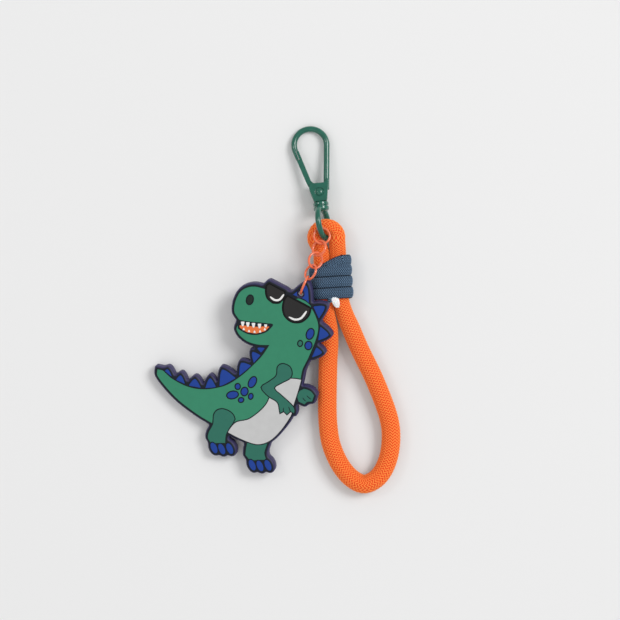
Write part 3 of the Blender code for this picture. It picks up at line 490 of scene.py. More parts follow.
def sweep(path, half_widths, sides, closed=False, up=UP):
    """Round or oval bar along a path."""
    solid = bmesh.new()
    rings = []
    for centre, (side, normal), (wide, thick) in zip(path, frames_along(path, up, closed), half_widths):
        ring = []
        for index in range(sides):
            angle = math.tau * index / sides
            across = side * wide * math.cos(angle)
            ring.append(solid.verts.new(centre + across + normal * thick * math.sin(angle)))
        rings.append(ring)
    pairs = list(zip(rings, rings[1:]))
    if closed:
        pairs.append((rings[-1], rings[0]))
    for first, second in pairs:
        bridge(solid, first, second)
    if not closed:
        solid.faces.new(rings[0])
        solid.faces.new(rings[-1])
    bmesh.ops.recalc_face_normals(solid, faces=solid.faces)
    return solid


def lathe(profile, sides=64):
    """Solid turned about the Y axis from (radius, y) points."""
    solid = bmesh.new()
    rings = []
    for radius, y in profile:
        rings.append([solid.verts.new((x, y, z)) for x, z in circle((0.0, 0.0), radius, sides)])
    for first, second in zip(rings, rings[1:]):
        bridge(solid, first, second)
    solid.faces.new(rings[0])
    solid.faces.new(rings[-1])
    bmesh.ops.recalc_face_normals(solid, faces=solid.faces)
    return solid


def prism(outline, low, high):
    """Straight-walled solid on an outline."""
    solid = bmesh.new()
    foot = [solid.verts.new((x, y, low)) for x, y in outline]
    head = [solid.verts.new((x, y, high)) for x, y in outline]
    solid.faces.new(foot[::-1])
    solid.faces.new(head)
    bridge(solid, foot, head)
    bmesh.ops.recalc_face_normals(solid, faces=solid.faces)
    return solid


def spline_path(points, step):
    """Catmull-Rom path through 3-D points, sampled about every step."""
    place = [Vector(point) for point in points]
    result = []
    for index in range(len(place) - 1):
        start, end = place[index], place[index + 1]
        before = place[index - 1] if index else start
        after = place[index + 2] if index < len(place) - 2 else end
        leaving, arriving = (end - before) / 2, (after - start) / 2
        parts = max(1, round((end - start).length / step))
        for part in range(parts):
            t = part / parts
            result.append(
                start * (2 * t**3 - 3 * t**2 + 1)
                + leaving * (t**3 - 2 * t**2 + t)
                + end * (3 * t**2 - 2 * t**3)
                + arriving * (t**3 - t**2)
            )
    result.append(place[-1])
    return result


def run_along(places):
    """Distance travelled at each point of a path."""
    return np.concatenate([[0.0], np.cumsum(np.linalg.norm(np.diff(places, axis=0), axis=1))])


def sampled(rows, run, stops):
    """Rows of numbers along a path, read off at other distances."""
    return np.stack([np.interp(stops, run, column) for column in rows.T], axis=1)


def even_path(path, step):
    """The path as an array of points at an even spacing."""
    points = np.array(path)
    run = run_along(points)
    stops = np.linspace(0.0, run[-1], max(2, round(run[-1] / step) + 1))
    return sampled(points, run, stops)


# ---------------------------------------------------------------- snap hook

def hook_matrix():
    """From the hook's own frame to the assembly's: lying down with its swivel end dipped."""
    turn = Matrix.Rotation(math.radians(HOOK_LEAN_DEG), 4, "Z")
    dip = Matrix.Rotation(math.radians(-HOOK_DIP_DEG), 4, "X")
    return Matrix.Translation(Vector(HOOK_FOOT) + SHIFT) @ turn @ dip


def tangent_angle(foot, side):
    """Where on the bow's circle the straight from a foot touches it, on side 1 or -1."""
    offset = Vector(foot) - Vector(BOW_CENTRE)
    return math.atan2(offset.y, offset.x) + side * math.acos(BOW_RADIUS / offset.length)


def bow_point(angle):
    """Point of the bow's centre line."""
    return Vector((*on_circle(BOW_CENTRE, BOW_RADIUS, angle), 0))


def gate_line():
    """Top of the gate's centre line, its direction to the foot and its inward normal."""
    top = bow_point(tangent_angle(GATE_FOOT, -1))
    down = (Vector((*GATE_FOOT, 0)) - top).normalized()
    return top, down, Vector((-down.y, down.x, 0))


def from_gate_line(along, aside):
    """Point in the hook's plane measured down and across the gate's centre line."""
    top, down, inward = gate_line()
    return tuple((top + down * along + inward * aside)[:2])


def make_bow():
    """Bent bar from the spine's foot round the bow, cut back where the gate laps it."""
    top, down, _ = gate_line()
    start = tangent_angle(SPINE_FOOT, 1)
    end = tangent_angle(GATE_FOOT, -1) + math.tau
    path = [Vector((*SPINE_FOOT, 0))]
    path += [bow_point(start + (end - start) * index / 80) for index in range(81)]
    path.append(top + down * LAP_END)
    bow = sweep(path, [(WIRE, WIRE)] * len(path), sides=48)
    low, high = LAP_START - LAP_GAP, LAP_END + 1.0
    beyond = 3.0
    corners = ((low, 0.0), (high, 0.0), (high, beyond), (low, beyond))
    lap = [from_gate_line(*corner) for corner in corners]
    return cut(bow, prism(lap, -beyond, beyond))


def make_block():
    """Cheek block with the gate's slot and a shallow seat for each rivet head."""
    outline = (
        (-2.55, 0.0), (2.65, 0.0), (3.5, 4.4), (4.2, 8.2), (3.7, 8.8), (2.3, 7.3), (-0.6, 7.4), (-3.3, 7.5),
        (-3.85, 5.4),
    )
    block = prism(outline, -BLOCK_HALF, BLOCK_HALF)
    slot = [(-6.0, SLOT_FLOOR), (2.35, SLOT_FLOOR), (2.35, 12.0), (-6.0, 12.0)]
    block = cut(block, prism(slot, -SLOT_HALF, SLOT_HALF))
    seat, beyond = BLOCK_HALF - PIN_SEAT_DEPTH, 4.0
    for low, high in ((seat, beyond), (-beyond, -seat)):
        block = cut(block, prism(circle(PIN_CENTRE, PIN_SEAT_RADIUS), low, high))
    return block


def make_hook(paint):
    """Bow, spine and block as one casting."""
    body = fuse([make_bow(), make_block()], voxel=0.09, smoothing=3)
    add_piece("hook", body, paint, "hook", ["hook_body"], 60, hook_matrix())


def make_rivet(paint):
    """Gate pin with a domed head on each side."""
    outer = BLOCK_HALF + PIN_HEAD_RISE
    under = BLOCK_HALF - PIN_SEAT_DEPTH - 0.02
    dome = [(0.01, outer), (0.5, outer - 0.03), (0.95, outer - 0.16), (1.3, outer - 0.4)]
    dome += [(PIN_HEAD_RADIUS, outer - 0.7), (PIN_HEAD_RADIUS, under)]
    profile = dome + [(PIN_RADIUS, under), (PIN_RADIUS, 0.0)]
    profile += [(radius, -y) for radius, y in reversed(profile)]
    pin = lathe(profile, sides=40)
    stand = Matrix.Translation((*PIN_CENTRE, 0)) @ Matrix.Rotation(math.radians(90), 4, "X")
    add_piece("rivet", pin, paint, "hook", ["gate_pin"], 30, hook_matrix() @ stand)


def make_gate(paint):
    """Flat gate bar, lapped at its tip and round at its hub."""
    corners = (
        (LAP_START + 0.1, WIRE), (LAP_START, 0.45 * WIRE), (LAP_START + 0.1, LAP_GAP),
        (LAP_END + LAP_GAP, LAP_GAP), (LAP_END + LAP_GAP, -GATE_REACH), (14.1, -GATE_REACH),
    )
    outline = [from_gate_line(*corner) for corner in corners]
    outline.append((-2.9, 3.9))
    for index in range(25):
        outline.append(on_circle(PIN_CENTRE, HUB_RADIUS, math.radians(200 + 184 * index / 24)))
    outline.append((-0.4, 6.2))
    outline.append(from_gate_line(13.8, GATE_REACH))
    gate = fuse([prism(outline, -GATE_HALF, GATE_HALF)], voxel=0.08, smoothing=4)
    add_piece("gate_bar", gate, paint, "gate", ["gate"], 60, hook_matrix())


def make_eye(paint):
    """Grooved collar and the round eye under it."""
    collar = lathe([
        (1.1, 1.0), (1.1, -0.2), (2.7, -0.22), (3.05, -0.5), (3.05, -1.45), (2.6, -1.65), (2.6, -1.95),
        (3.05, -2.15), (3.05, -3.15), (2.6, -3.75), (1.6, -4.1),
    ])
    roll = math.radians(EYE_ROLL_DEG)
    path = []
    for index in range(96):
        angle = math.tau * index / 96
        reach = EYE_RADIUS * math.sin(angle)
        path.append(Vector((
            -math.sin(roll) * reach, EYE_CENTRE + EYE_RADIUS * math.cos(angle), math.cos(roll) * reach,
        )))
    across = Vector((math.cos(roll), 0, math.sin(roll)))
    ring = sweep(path, [(EYE_WIRE, EYE_WIRE)] * len(path), sides=36, closed=True, up=across)
    eye = fuse([collar, ring], voxel=0.08, smoothing=3)
    add_piece("swivel_ring", eye, paint, "eye", ["swivel_eye"], 60, hook_matrix())


# ---------------------------------------------------------------- ring chain

def node_points(name):
    """Distinct vertex places of a CAD node, in millimetres."""
    points = np.array([vertex.co for vertex in frame["nodes"][name].data.vertices]) / MM
    return np.unique(points.round(4), axis=0)


def make_chain(paint):
    """Round wire rings, each bent shut with a butt joint that is just visible."""
    for number in range(1, 6):
        points = node_points(f"ring_{number}")
        centre = points.mean(axis=0)
        _, _, axes = np.linalg.svd(points - centre)
        radius = float(np.mean(np.linalg.norm((points - centre) @ axes[:2].T, axis=1)))
        first, second, normal = (Vector(axis) for axis in axes)
        path = []
        start = math.radians(70 + 47 * number)
        span = 360 - RING_GAP_DEG
        for index in range(91):
            angle = start + math.radians(RING_GAP_DEG / 2 + span * index / 90)
            across = first * radius * math.cos(angle)
            path.append(Vector(centre) + across + second * radius * math.sin(angle))
        ring = sweep(path, [(RING_WIRE, RING_WIRE)] * len(path), sides=20, up=normal)
        node = f"ring_{number}"
        add_piece("chain_" + node, ring, paint, node, [node], 50)


# ---------------------------------------------------------------- charm

def charm_matrix():
    """From the charm's own frame, with the hanging hole at its origin, to the assembly's."""
    heading = math.radians(CHARM_TILT_HEADING_DEG)
    axis = Vector((math.sin(heading), -math.cos(heading), 0))
    tilt = Matrix.Rotation(math.radians(CHARM_TILT_DEG), 4, axis)
    return Matrix.Translation(Vector(JOINTS["charm_swing"]["pos_m"]) / MM) @ tilt


def face_loops(name, height):
    """Closed outlines, in the charm's own frame, of a CAD node's flat face at one height."""
    mesh = frame["nodes"][name].data
    mesh.calc_loop_triangles()
    back = charm_matrix().inverted()
    local = [back @ (vertex.co / MM) for vertex in mesh.vertices]
    key = [(round(point.x, 3), round(point.y, 3)) for point in local]
    edges = set()
    for triangle in mesh.loop_triangles:
        if all(abs(local[index].z - height) < 0.02 for index in triangle.vertices):
            a, b, c = (key[index] for index in triangle.vertices)
            for edge in ((a, b), (b, c), (c, a)):
                if edge[::-1] in edges:
                    edges.remove(edge[::-1])
                else:
                    edges.add(edge)
    follow = dict(edges)
    loops = []
    while follow:
        start, point = follow.popitem()
        loop = [start]
        while point != start and point in follow:
            loop.append(point)
            point = follow.pop(point)
        loops.append(np.array(loop))
    return sorted(loops, key=lambda loop: -abs(area(loop)))


def area(loop):
    """Signed area of a closed outline, positive if it runs counter-clockwise."""
    x, y = loop[:, 0], loop[:, 1]
    return float(np.sum(x * np.roll(y, -1) - np.roll(x, -1) * y)) / 2


def rounded(loop):
    """The outline with smooth stretches between its sharp corners, counter-clockwise."""
    if area(loop) < 0:
        loop = loop[::-1]
    apart = 0.12
    keep = [loop[0]]
    for point in loop[1:]:
        if np.linalg.norm(point - keep[-1]) > apart:
            keep.append(point)
    if np.linalg.norm(keep[0] - keep[-1]) < apart:
        keep.pop()
    loop = np.array(keep)
    step = np.roll(loop, -1, axis=0) - loop
    length = np.linalg.norm(step, axis=1)
    before, before_length = np.roll(step, 1, axis=0), np.roll(length, 1)
    turn = np.degrees(np.arccos(np.clip(np.sum(step * before, axis=1) / (length * before_length), -1, 1)))
    slope = (
        before / before_length[:, None] * length[:, None] + step / length[:, None] * before_length[:, None]
    ) / (length + before_length)[:, None]
    result = []
    count = len(loop)
    for index in range(count):
        after = (index + 1) % count
        span = length[index]
        leaving = step[index] if turn[index] > SHARP_CORNER_DEG else slope[index] * span
        arriving = step[index] if turn[after] > SHARP_CORNER_DEG else slope[after] * span
        parts = max(1, round(span / OUTLINE_STEP))
        for part in range(parts):
            t = part / parts
            result.append(
                loop[index] * (2 * t**3 - 3 * t**2 + 1) + leaving * (t**3 - 2 * t**2 + t)
                + loop[after] * (3 * t**2 - 2 * t**3) + arriving * (t**3 - t**2)
            )
    return np.array(result)


def inset(loop, distance):
    """Each point moved inwards along the local normal."""
    ahead = np.roll(loop, -1, axis=0) - np.roll(loop, 1, axis=0)
    ahead /= np.linalg.norm(ahead, axis=1, keepdims=True) + 1e-9
    return loop + np.stack([-ahead[:, 1], ahead[:, 0]], axis=1) * distance


def softened(loop, reach):
    """The outline with its corners rounded over a reach in millimetres."""
    step = OUTLINE_STEP / 2
    loop = even_path(np.vstack([loop, loop[:1]]), step)[:-1]
    for _ in range(max(1, round((reach / step) ** 2))):
        loop = (np.roll(loop, 1, axis=0) + 2 * loop + np.roll(loop, -1, axis=0)) / 4
    return loop[::2] if len(loop) > 60 else loop


def slab(loops, low, high, fillet, bottom_fillet=0.0, lean=(0.0, 0.0)):
    """Slab on closed outlines, the first one outer and the others holes, with a rounded top edge.

    The lean moves the outer wall's foot sideways. 'flat' on its points is 1 on the top face.
    """
    solid = bmesh.new()
    levels = [(0.0, low)]
    if bottom_fillet:
        bevel = bottom_fillet * 0.3
        levels = [(bottom_fillet, low), (bevel, low + bevel), (0.0, low + bottom_fillet)]
    for share in range(5):
        angle = math.radians(90 * share / 4)
        levels.append((fillet * (1 - math.cos(angle)), high - fillet + fillet * math.sin(angle)))
    foot_edges, head_edges = [], []
    for number, loop in enumerate(loops):
        inward = 1.0 if number == 0 else -1.0
        rings = []
        for distance, z in levels:
            offset = np.array(lean) * (high - z) / (high - low) * (number == 0)
            shape = inset(loop, distance * inward) + offset
            rings.append([solid.verts.new((x, y, z)) for x, y in shape])
        for lower, upper in zip(rings, rings[1:]):
            bridge(solid, lower, upper)
        for ring, edges in ((rings[0], foot_edges), (rings[-1], head_edges)):
            for index in range(len(ring)):
                pair = (ring[index], ring[(index + 1) % len(ring)])
                edges.append(solid.edges.get(pair) or solid.edges.new(pair))
    bmesh.ops.triangle_fill(solid, edges=foot_edges, use_beauty=True)
    bmesh.ops.triangle_fill(solid, edges=head_edges, use_beauty=True)
    flat = solid.verts.layers.float.new("flat")
    for vertex in solid.verts:
        vertex[flat] = 1.0 if vertex.co.z > high - 0.08 * fillet else 0.0
    return solid


def add_slab(name, solid, material, stands_for=()):
    """Add a flat-topped piece of the charm, drawn in the charm's own frame."""
    item = add_piece(name, solid, material, "charm", stands_for, 50, charm_matrix())
    item.modifiers.new("flat_tops", "WEIGHTED_NORMAL").keep_sharp = True
    return item


def stroke(points, half_width, low, high):
    """Narrow bar with rounded ends along a short line of points in the charm's own frame."""
    path = spline_path([(x, y, (low + high) / 2) for x, y in points], 0.15)
    sizes = []
    for index in range(len(path)):
        share = min(index, len(path) - 1 - index) / max(1.0, 0.2 * len(path))
        reach = half_width * math.sqrt(min(1.0, 0.12 + share))
        sizes.append((reach, (high - low) / 2))
    return sweep(path, sizes, sides=12)


def make_plate(look):
    """Base plate on the CAD's outline, with soft corners, a rounded rim and the hanging hole."""
    outline = softened(rounded(face_loops("charm_base", 0.0)[0]), 0.6)
    outline = softened(inset(outline, -PLATE_GROW), 0.5)
    hole = np.array(circle((0.0, 0.0), HOLE_RADIUS))
    plate = slab([outline, hole], 0.0, BASE_TOP, RIM_ROUND, RIM_FOOT_ROUND, BASE_LEAN)
    add_slab("charm_plate", plate, look, ["charm_base"])


def make_fields(looks):
    """Colour fields on the outlines of their CAD solids' top faces."""
    slots = {row["node"]: row["material_slot"] for row in frame["record"]["subparts"]}
    for name in sorted(frame["record"]["behaviour"]["bodies"]["charm"]):
        if name in DRAWN_APART:
            continue
        slot = slots[name]
        loops = [loop for loop in face_loops(name, CHARM_THICK) if abs(area(loop)) > SPECK_AREA]
        loops = [rounded(loop) for loop in loops]
        if name.startswith("lens"):
            loops = loops[:1]
        if "spike" in name:
            loops[0] = softened(loops[0], 0.3)
        if name != "head_spike":
            loops[0] = inset(loops[0], -FIELD_GROW)
        field = slab(loops, FIELD_FLOOR, CHARM_THICK, FIELD_ROUND)
        look = looks["nostril"] if name == "nostril" else looks[slot.removeprefix("pvc_")]
        add_slab(name + "_fill", field, look, [name])


def make_glints(look):
    """White strokes low on the lenses."""
    glints = {
        "glint_left": ((-12.0, -1.1), (-10.2, -2.4), (-8.2, -2.2), (-6.5, -0.1)),
        "glint_right": ((-4.6, -9.1), (-2.2, -10.1), (0.3, -9.5), (2.5, -6.7)),
    }
    for name, points in glints.items():
        shine = stroke(points, GLINT_HALF, CHARM_THICK - 0.12, CHARM_THICK + 0.08)
        add_slab(name + "_fill", shine, look, [name])


def make_hole_sliver(look):
    """Part of the head spike left of the hanging hole."""
    outline = np.array([
        (-1.15, -1.0), (-1.3, -0.5), (-1.36, 0.0), (-1.32, 0.45), (-1.2, 1.1), (-2.9, -0.35),
    ])
    sliver = slab([softened(outline, 0.12)], FIELD_FLOOR, CHARM_THICK, SLIVER_ROUND)
    add_slab("head_spike_fill_left", sliver, look)


def make_brow(look):
    """Thin strip of the head above the right lens."""
    outline = np.array([
        (-1.7, -2.0), (1.0, -3.4), (3.7, -4.85), (4.3, -5.25), (3.9, -4.5), (2.9, -3.5), (1.8, -2.75),
        (0.4, -2.1), (-0.7, -1.75),
    ])
    add_slab("brow_fill", slab([outline], FIELD_FLOOR, CHARM_THICK, SLIVER_ROUND), look)


def make_finger_lines(look):
    """Short dark lines between the fingers."""
    fingers = (
        ((-6.9, -45.2), (-7.0, -46.0), (-6.9, -46.9)),
        ((-4.9, -44.8), (-4.5, -45.8), (-4.2, -46.8)),
        ((0.8, -41.2), (1.2, -41.8), (2.0, -42.5)),
        ((2.4, -40.3), (3.1, -41.0), (4.0, -41.7)),
    )
    low, high = CHARM_THICK - 0.15, CHARM_THICK + 0.05
    lines = [stroke(points, FINGER_LINE_HALF, low, high) for points in fingers]
    add_slab("finger_lines", merged(lines), look)


def tooth(x, top, half_top, half_tip, height):
    """Rounded tooth hanging down from its top, or standing up if the height is negative."""
    shape = np.array([
        (x - half_top, top), (x - half_top, top - 0.3 * height), (x - half_tip, top - height),
        (x + half_tip, top - height), (x + half_top, top - 0.3 * height), (x + half_top, top),
    ])
    shape = shape if area(shape) > 0 else shape[::-1]
    return slab([softened(shape, 0.16)], TEETH_FLOOR, CHARM_THICK + 0.06, SLIVER_ROUND)


def make_mouth(looks):
    """Five upper teeth, the gum and the row of small lower teeth set in it."""
    upper = [tooth(x, -11.0 - 0.12 * (x + 23.2), 0.68, 0.3, 1.85) for x in (-23.0, -20.95, -18.7, -16.3)]
    upper.append(tooth(-13.85, -12.1, 0.6, 0.28, 1.2))
    add_slab("upper_teeth_fill", merged(upper), looks["white"], ["upper_teeth"])
    gum = np.array([
        (-24.3, -12.5), (-24.2, -13.5), (-21.3, -15.3), (-17.6, -15.8), (-14.1, -14.8), (-12.3, -13.0),
        (-14.0, -12.9), (-17.5, -13.1), (-21.0, -12.7),
    ])
    gum_slab = slab([softened(gum, 0.25)], TEETH_FLOOR, CHARM_THICK - 0.08, SLIVER_ROUND)
    add_slab("gum_fill", gum_slab, looks["gum"], ["gum"])
    lower = []
    for x, foot in ((-22.6, -14.45), (-20.5, -15.2), (-18.3, -15.5), (-16.1, -15.35), (-14.2, -14.5)):
        lower.append(tooth(x, foot, 0.46, 0.14, -0.95))
    add_slab("lower_teeth", merged(lower), looks["white"])


def make_charm(looks):
    """The whole charm, plate first and the details drawn on it after."""
    make_plate(looks["navy"])
    make_fields(looks)
    make_glints(looks["white"])
    make_hole_sliver(looks["blue"])
    make_brow(looks["green"])
    make_finger_lines(looks["line"])
    make_mouth(looks)


# ---------------------------------------------------------------- rope and cord

def herringbone(around, along, columns, pitch, slope):
    """Yarn height from 0 to 1 on a braid: slanting round yarns in mirrored columns."""
    place = around * columns
    column = np.floor(place)
    across = place - column - 0.5
    lean = np.where(column % 2 == 0, 1.0, -1.0)
    phase = along / pitch + lean * across * slope
    yarn = (0.5 - 0.5 * np.cos(math.tau * phase)) ** YARN_FLATNESS
    dive = 1.0 - YARN_DIVE * np.abs(2 * across) ** 6
    return yarn * dive


def braided_tube(path, half_widths, up, sides, columns, pitch, depth, slope, crevice_shade=0.0):
    """Mesh of a braided cord along an even path.

    'braid' on its points is the yarn height that drives the colour, lowered as painted shade in the crevices along
    the section's narrow edges.
    """
    frames = frames_along([Vector(point) for point in path], up)
    side, normal = np.array(frames).transpose(1, 0, 2)
    angle = math.tau * np.arange(sides) / sides
    cosine, sine = np.cos(angle), np.sin(angle)
    gaps = np.hypot(np.diff(np.append(cosine, cosine[0])) * half_widths[0, 0],
                    np.diff(np.append(sine, sine[0])) * half_widths[0, 1])
    around = np.concatenate([[0.0], np.cumsum(gaps)[:-1]]) / np.sum(gaps)
    height = herringbone(around[None, :], run_along(path)[:, None], columns, pitch, slope)
    lift = (height - YARN_MIDDLE) * depth
    reach_wide = (half_widths[:, :1] + lift) * cosine[None, :]
    reach_thick = (half_widths[:, 1:] + lift) * sine[None, :]
    grid = path[:, None, :] + side[:, None, :] * reach_wide[..., None]
    grid = grid + normal[:, None, :] * reach_thick[..., None]
    row = np.arange(len(path) - 1)[:, None] * sides
    first = row + np.arange(sides)[None, :]
    after = row + (np.arange(sides)[None, :] + 1) % sides
    quads = np.stack([first, after, after + sides, first + sides], axis=-1).reshape(-1, 4)
    faces = [tuple(quad) for quad in quads.tolist()]
    faces.append(tuple(range(sides - 1, -1, -1)))
    faces.append(tuple(range((len(path) - 1) * sides, len(path) * sides)))
    mesh = bpy.data.meshes.new("braid")
    mesh.from_pydata((grid.reshape(-1, 3) * MM).tolist(), [], faces)
    # painted shade: the braid colour is darkened along the narrow edges, in the grooves between turns
    edge = cosine[None, :] ** 8
    seen = (height * (1.0 - crevice_shade * edge)).astype(np.float32)
    mesh.attributes.new("braid", "FLOAT", "POINT").data.foreach_set("value", seen.ravel())
    mesh.validate()
    mesh.shade_smooth()
    shell = bmesh.new()
    shell.from_mesh(mesh)
    bmesh.ops.recalc_face_normals(shell, faces=shell.faces)
    shell.to_mesh(mesh)
    shell.free()
    return mesh


def whip_middle(y):
    """X of the middle between the two bound rope legs."""
    return WHIP_MIDDLE - WHIP_LEAN * (y - WHIP_FOOT)


def rope_points():
    """Centre line: up the right leg, over the fold, down the left leg, round the loop and back."""
    fold = []
    for degrees in range(-10, 191, 20):
        fold.append((*on_circle(FOLD_CENTRE, FOLD_RADIUS, math.radians(degrees)), FOLD_HEIGHT))
    right_leg = [(whip_middle(y) + LEG_OFFSET, y, WHIP_HEIGHT) for y in (9.9, 14.0, 18.0, 22.7)]
    left_leg = [(whip_middle(y) - LEG_OFFSET, y, WHIP_HEIGHT) for y in (22.7, 18.0, 14.0, 9.0, 4.0)]
    loop = [
        (20.0, -2.0, 5.0), (20.8, -8.0, 4.8), (21.0, -14.0, 4.55), (20.6, -21.0, 4.25), (20.3, -37.0, 3.85),
        (20.6, -46.0, 3.75), (21.9, -54.0, 3.72), (25.2, -61.6, 3.72), (29.8, -67.2, 3.72),
        (35.2, -69.6, 3.72), (40.8, -66.6, 3.72), (44.4, -59.9, 3.72), (45.7, -51.0, 3.72),
        (44.4, -42.0, 3.8), (39.2, -28.3, 4.05), (33.4, -16.3, 4.45), (29.8, -8.0, 4.8),
        (27.3, -2.0, 5.0),
    ]
    loop += [(whip_middle(y) + LEG_OFFSET, y, WHIP_HEIGHT) for y in (4.0, 9.2)]
    return right_leg + fold + left_leg + loop


def make_rope(material):
    """Braided rope, squeezed to a smaller radius inside and above the whipping."""
    path = even_path(spline_path(rope_points(), 0.5), ROPE_STEP)
    release = np.clip((3.0 - path[:, 1]) / 12.0, 0.0, 1.0)
    radius = ROPE_SQUEEZED + (ROPE_RADIUS - ROPE_SQUEEZED) * release * release * (3 - 2 * release)
    path = path + np.array(SHIFT)
    half_widths = np.stack([radius, radius], axis=1)
    mesh = braided_tube(path, half_widths, UP, **ROPE_WEAVE)
    place_mesh("strap_rope", mesh, material, "strap", ["rope_sheath"])


def oval_point(share):
    """Place and outward direction on the oval round both legs, from its right end over the back."""
    ring = ROPE_SQUEEZED + WHIP_FIT + CORD_THICK / 2
    straight = 2 * LEG_OFFSET
    arc = math.pi * ring
    along = (share % 1.0) * 2 * (straight + arc)
    if along < arc / 2:
        centre, angle = LEG_OFFSET, -along / ring
    elif along < arc / 2 + straight:
        return LEG_OFFSET - (along - arc / 2), -ring, -UP
    elif along < 1.5 * arc + straight:
        centre, angle = -LEG_OFFSET, -math.pi / 2 - (along - arc / 2 - straight) / ring
    elif along < 1.5 * arc + 2 * straight:
        return -LEG_OFFSET + along - 1.5 * arc - straight, ring, UP
    else:
        centre, angle = LEG_OFFSET, math.pi / 2 - (along - 1.5 * arc - 2 * straight) / ring
    push = Vector((math.cos(angle), 0, math.sin(angle)))
    return centre + ring * push.x, ring * push.z, push


def whipping_rows():
    """Rows of place, outward direction and half widths: the slanting first pass, then the turns."""
    half = (CORD_WIDTH / 2, CORD_THICK / 2)
    first_pass = (
        (15.6, 14.3, 6.6), (16.6, 14.6, 7.7), (18.6, 15.6, 8.5), (21.5, 17.2, 8.85), (24.4, 18.7, 9.1),
    )
    rows = [(*place, *UP, *half) for place in first_pass]
    parts = 150
    first = int(parts * WHIP_START) + 1
    last = parts + round(parts * (WHIP_TURNS + WHIP_OVERRUN))
    for index in range(first, last + 1):
        turns = index / parts - 1.0
        x, z, push = oval_point(turns)
        back = min((turns % 1.0) / 0.5, 1.0)
        drop = WHIP_PITCH * (math.floor(turns) + back * back * (3 - 2 * back)) if turns > 0 else 0.0
        y = WHIP_TOP - max(drop, FIRST_TURN_DROP)
        tilt = WHIP_TILT * (x - WHIP_TILT_PIVOT)
        rows.append((whip_middle(y) + x, y + tilt, WHIP_HEIGHT + z, *push, *half))
    return np.array(rows)


def make_whipping(material):
    """Flat braided cord wound round both legs."""
    rows = whipping_rows()
    run = run_along(rows[:, :3])
    fine = sampled(rows, run, np.arange(0.0, run[-1], CORD_STEP))
    up = [Vector(row) for row in fine[:, 3:6]]
    mesh = braided_tube(fine[:, :3] + np.array(SHIFT), fine[:, 6:8], up, **CORD_WEAVE)
    place_mesh("whipping_cord", mesh, material, "strap", ["whipping_sheath"])


def make_cord_tail(material):
    """The cord's end, coming out below the last turn."""
    points = ((21.1, 7.0, 8.4), (21.2, 5.4, 8.8), (21.5, 4.0, 9.0), (22.0, 2.9, 8.9))
    path = even_path(spline_path(points, 0.3), CORD_STEP)
    share = np.linspace(0.0, 1.0, len(path))
    half_widths = np.stack([1.6 - 0.3 * share, 0.95 - 0.1 * share], axis=1)
    mesh = braided_tube(path + np.array(SHIFT), half_widths, UP, **TAIL_WEAVE)
    place_mesh("cord_tail", mesh, material, "strap")


def make_tuft(material):
    """Cut end of the cord's core: a teardrop of loose fibres."""
    rng = np.random.default_rng(7)
    # place, half width and half thickness down the teardrop
    spine = (
        (22.8, 5.6, 9.0, 1.0, 0.7), (23.1, 4.6, 9.2, 1.5, 0.95), (23.4, 3.4, 9.3, 1.6, 1.0),
        (23.8, 2.2, 9.2, 1.3, 0.9), (24.1, 1.1, 9.0, 0.85, 0.7), (24.3, 0.3, 8.8, 0.4, 0.35),
    )
    line = even_path(spine, 0.45)
    fibre_bars = []
    for _ in range(FIBRE_COUNT):
        reach = math.sqrt(rng.random())
        angle = math.tau * rng.random()
        stray = rng.normal(0.0, 0.16, 2)
        length = int(len(line) * rng.uniform(0.72, 1.0))
        path = []
        for index in range(max(4, length)):
            x, y, z, wide, thick = line[index]
            share = index / len(line)
            path.append(Vector((
                x + wide * (reach * math.cos(angle) + stray[0] * share),
                y + 0.25 * stray[1] * share,
                z + thick * (reach * math.sin(angle) + stray[1] * share),
            )) + SHIFT)
        sizes = [(FIBRE_RADIUS * (1.0 - 0.6 * index / len(path)),) * 2 for index in range(len(path))]
        fibre_bars.append(sweep(path, sizes, sides=5))
    add_piece("core_fibres", merged(fibre_bars), material, "strap", ["whipping_core"], 60)


# ---------------------------------------------------------------- stage

def make_floor():
    """Large plain sheet under the object."""
    floor_bm = bmesh.new()
    bmesh.ops.create_grid(floor_bm, x_segments=1, y_segments=1, size=3.0)
    mesh = bpy.data.meshes.new("floor")
    floor_bm.to_mesh(mesh)
    floor_bm.free()
    floor = bpy.data.objects.new("floor", mesh)
    bpy.context.scene.collection.objects.link(floor)
    mesh.materials.append(paper("floor_paper", FLOOR_GREY))


def make_world():
    """Even white surroundings, dimmer where they are seen in a reflection."""
    world = bpy.data.worlds.new("studio")
    bpy.context.scene.world = world
    world.use_nodes = True
    tree = world.node_tree
    background = tree.nodes["Background"]
    background.inputs["Color"].default_value = (1.0, 1.0, 1.0, 1.0)
    glossy = tree.nodes.new("ShaderNodeLightPath").outputs["Is Glossy Ray"]
    strength = tree.nodes.new("ShaderNodeMapRange")
    strength.inputs["To Min"].default_value = WORLD_LIGHT
    strength.inputs["To Max"].default_value = WORLD_LIGHT_IN_GLOSS
    tree.links.new(glossy, strength.inputs["Value"])
    tree.links.new(strength.outputs["Result"], background.inputs["Strength"])


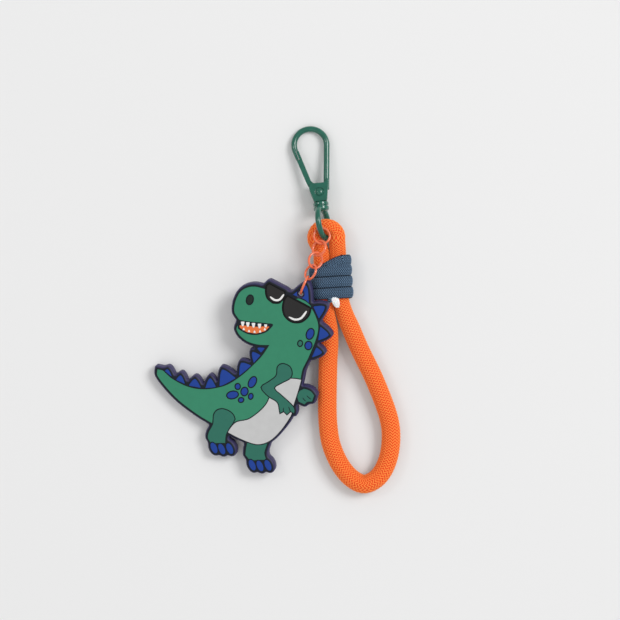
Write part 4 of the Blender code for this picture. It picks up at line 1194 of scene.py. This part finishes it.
def make_lamps():
    """Large soft key from the right, weak fill, and a small one for the highlights."""
    lamps = (
        ("key", (1.5, 0.84, 1.9), 1.1, 31.0),
        ("fill", (-0.5, -0.7, 1.3), 1.2, 1.6),
        ("sparkle", (-0.75, 0.35, 1.0), 0.16, 0.9),
    )
    for name, place_m, size_m, watts in lamps:
        light = bpy.data.lights.new(name, "AREA")
        light.size = size_m
        light.energy = watts
        lamp = bpy.data.objects.new(name, light)
        bpy.context.scene.collection.objects.link(lamp)
        lamp.location = place_m
        lamp.rotation_euler = (-Vector(place_m)).to_track_quat("-Z", "Y").to_euler()


def make_camera():
    """Camera straight above the object."""
    lens = bpy.data.cameras.new("camera")
    lens.lens = LENS_LENGTH
    camera = bpy.data.objects.new("camera", lens)
    bpy.context.scene.collection.objects.link(camera)
    x, y = VIEW_CENTRE
    height = VIEW_WIDTH * lens.lens / lens.sensor_width
    camera.location = ((x + SHIFT.x) * MM, (y + SHIFT.y) * MM, height * MM)
    bpy.context.scene.camera = camera
    bpy.context.scene.view_settings.view_transform = "Standard"


# ---------------------------------------------------------------- assembly

paint_green = enamel("green_enamel", GREEN_PAINT)
make_hook(paint_green)
make_rivet(paint_green)
make_gate(paint_green)
make_eye(paint_green)
make_chain(enamel("orange_enamel", ORANGE_PAINT))
make_charm({
    "navy": rimmed_pvc("navy_pvc", PVC_RIM_PAINTED_LIGHT, PVC_LINE),
    "line": soft_pvc("line_pvc", PVC_LINE),
    "nostril": soft_pvc("nostril_pvc", PVC_NOSTRIL),
    "green": soft_pvc("green_pvc", PVC_GREEN),
    "limb_green": soft_pvc("limb_pvc", PVC_LIMB),
    "blue": soft_pvc("blue_pvc", PVC_BLUE),
    "grey": soft_pvc("grey_pvc", PVC_GREY),
    "black": soft_pvc("black_pvc", PVC_BLACK),
    "lens": soft_pvc("lens_pvc", PVC_LENS),
    "white": soft_pvc("white_pvc", PVC_WHITE),
    "gum": soft_pvc("gum_pvc", PVC_GUM),
})
make_rope(orange_braid_with_glow())
navy_braid = braid("navy_braid_look", CORD_NAVY, CORD_SHADE, 0.38).material
make_whipping(navy_braid)
make_cord_tail(navy_braid)
make_tuft(fibres("fibre_look", FIBRE_WHITE))
repaint("gate_spring", bare_steel("spring_look"))
repaint("rope_core", fibres("core_look", FIBRE_WHITE))
make_floor()
make_world()
make_lamps()
make_camera()
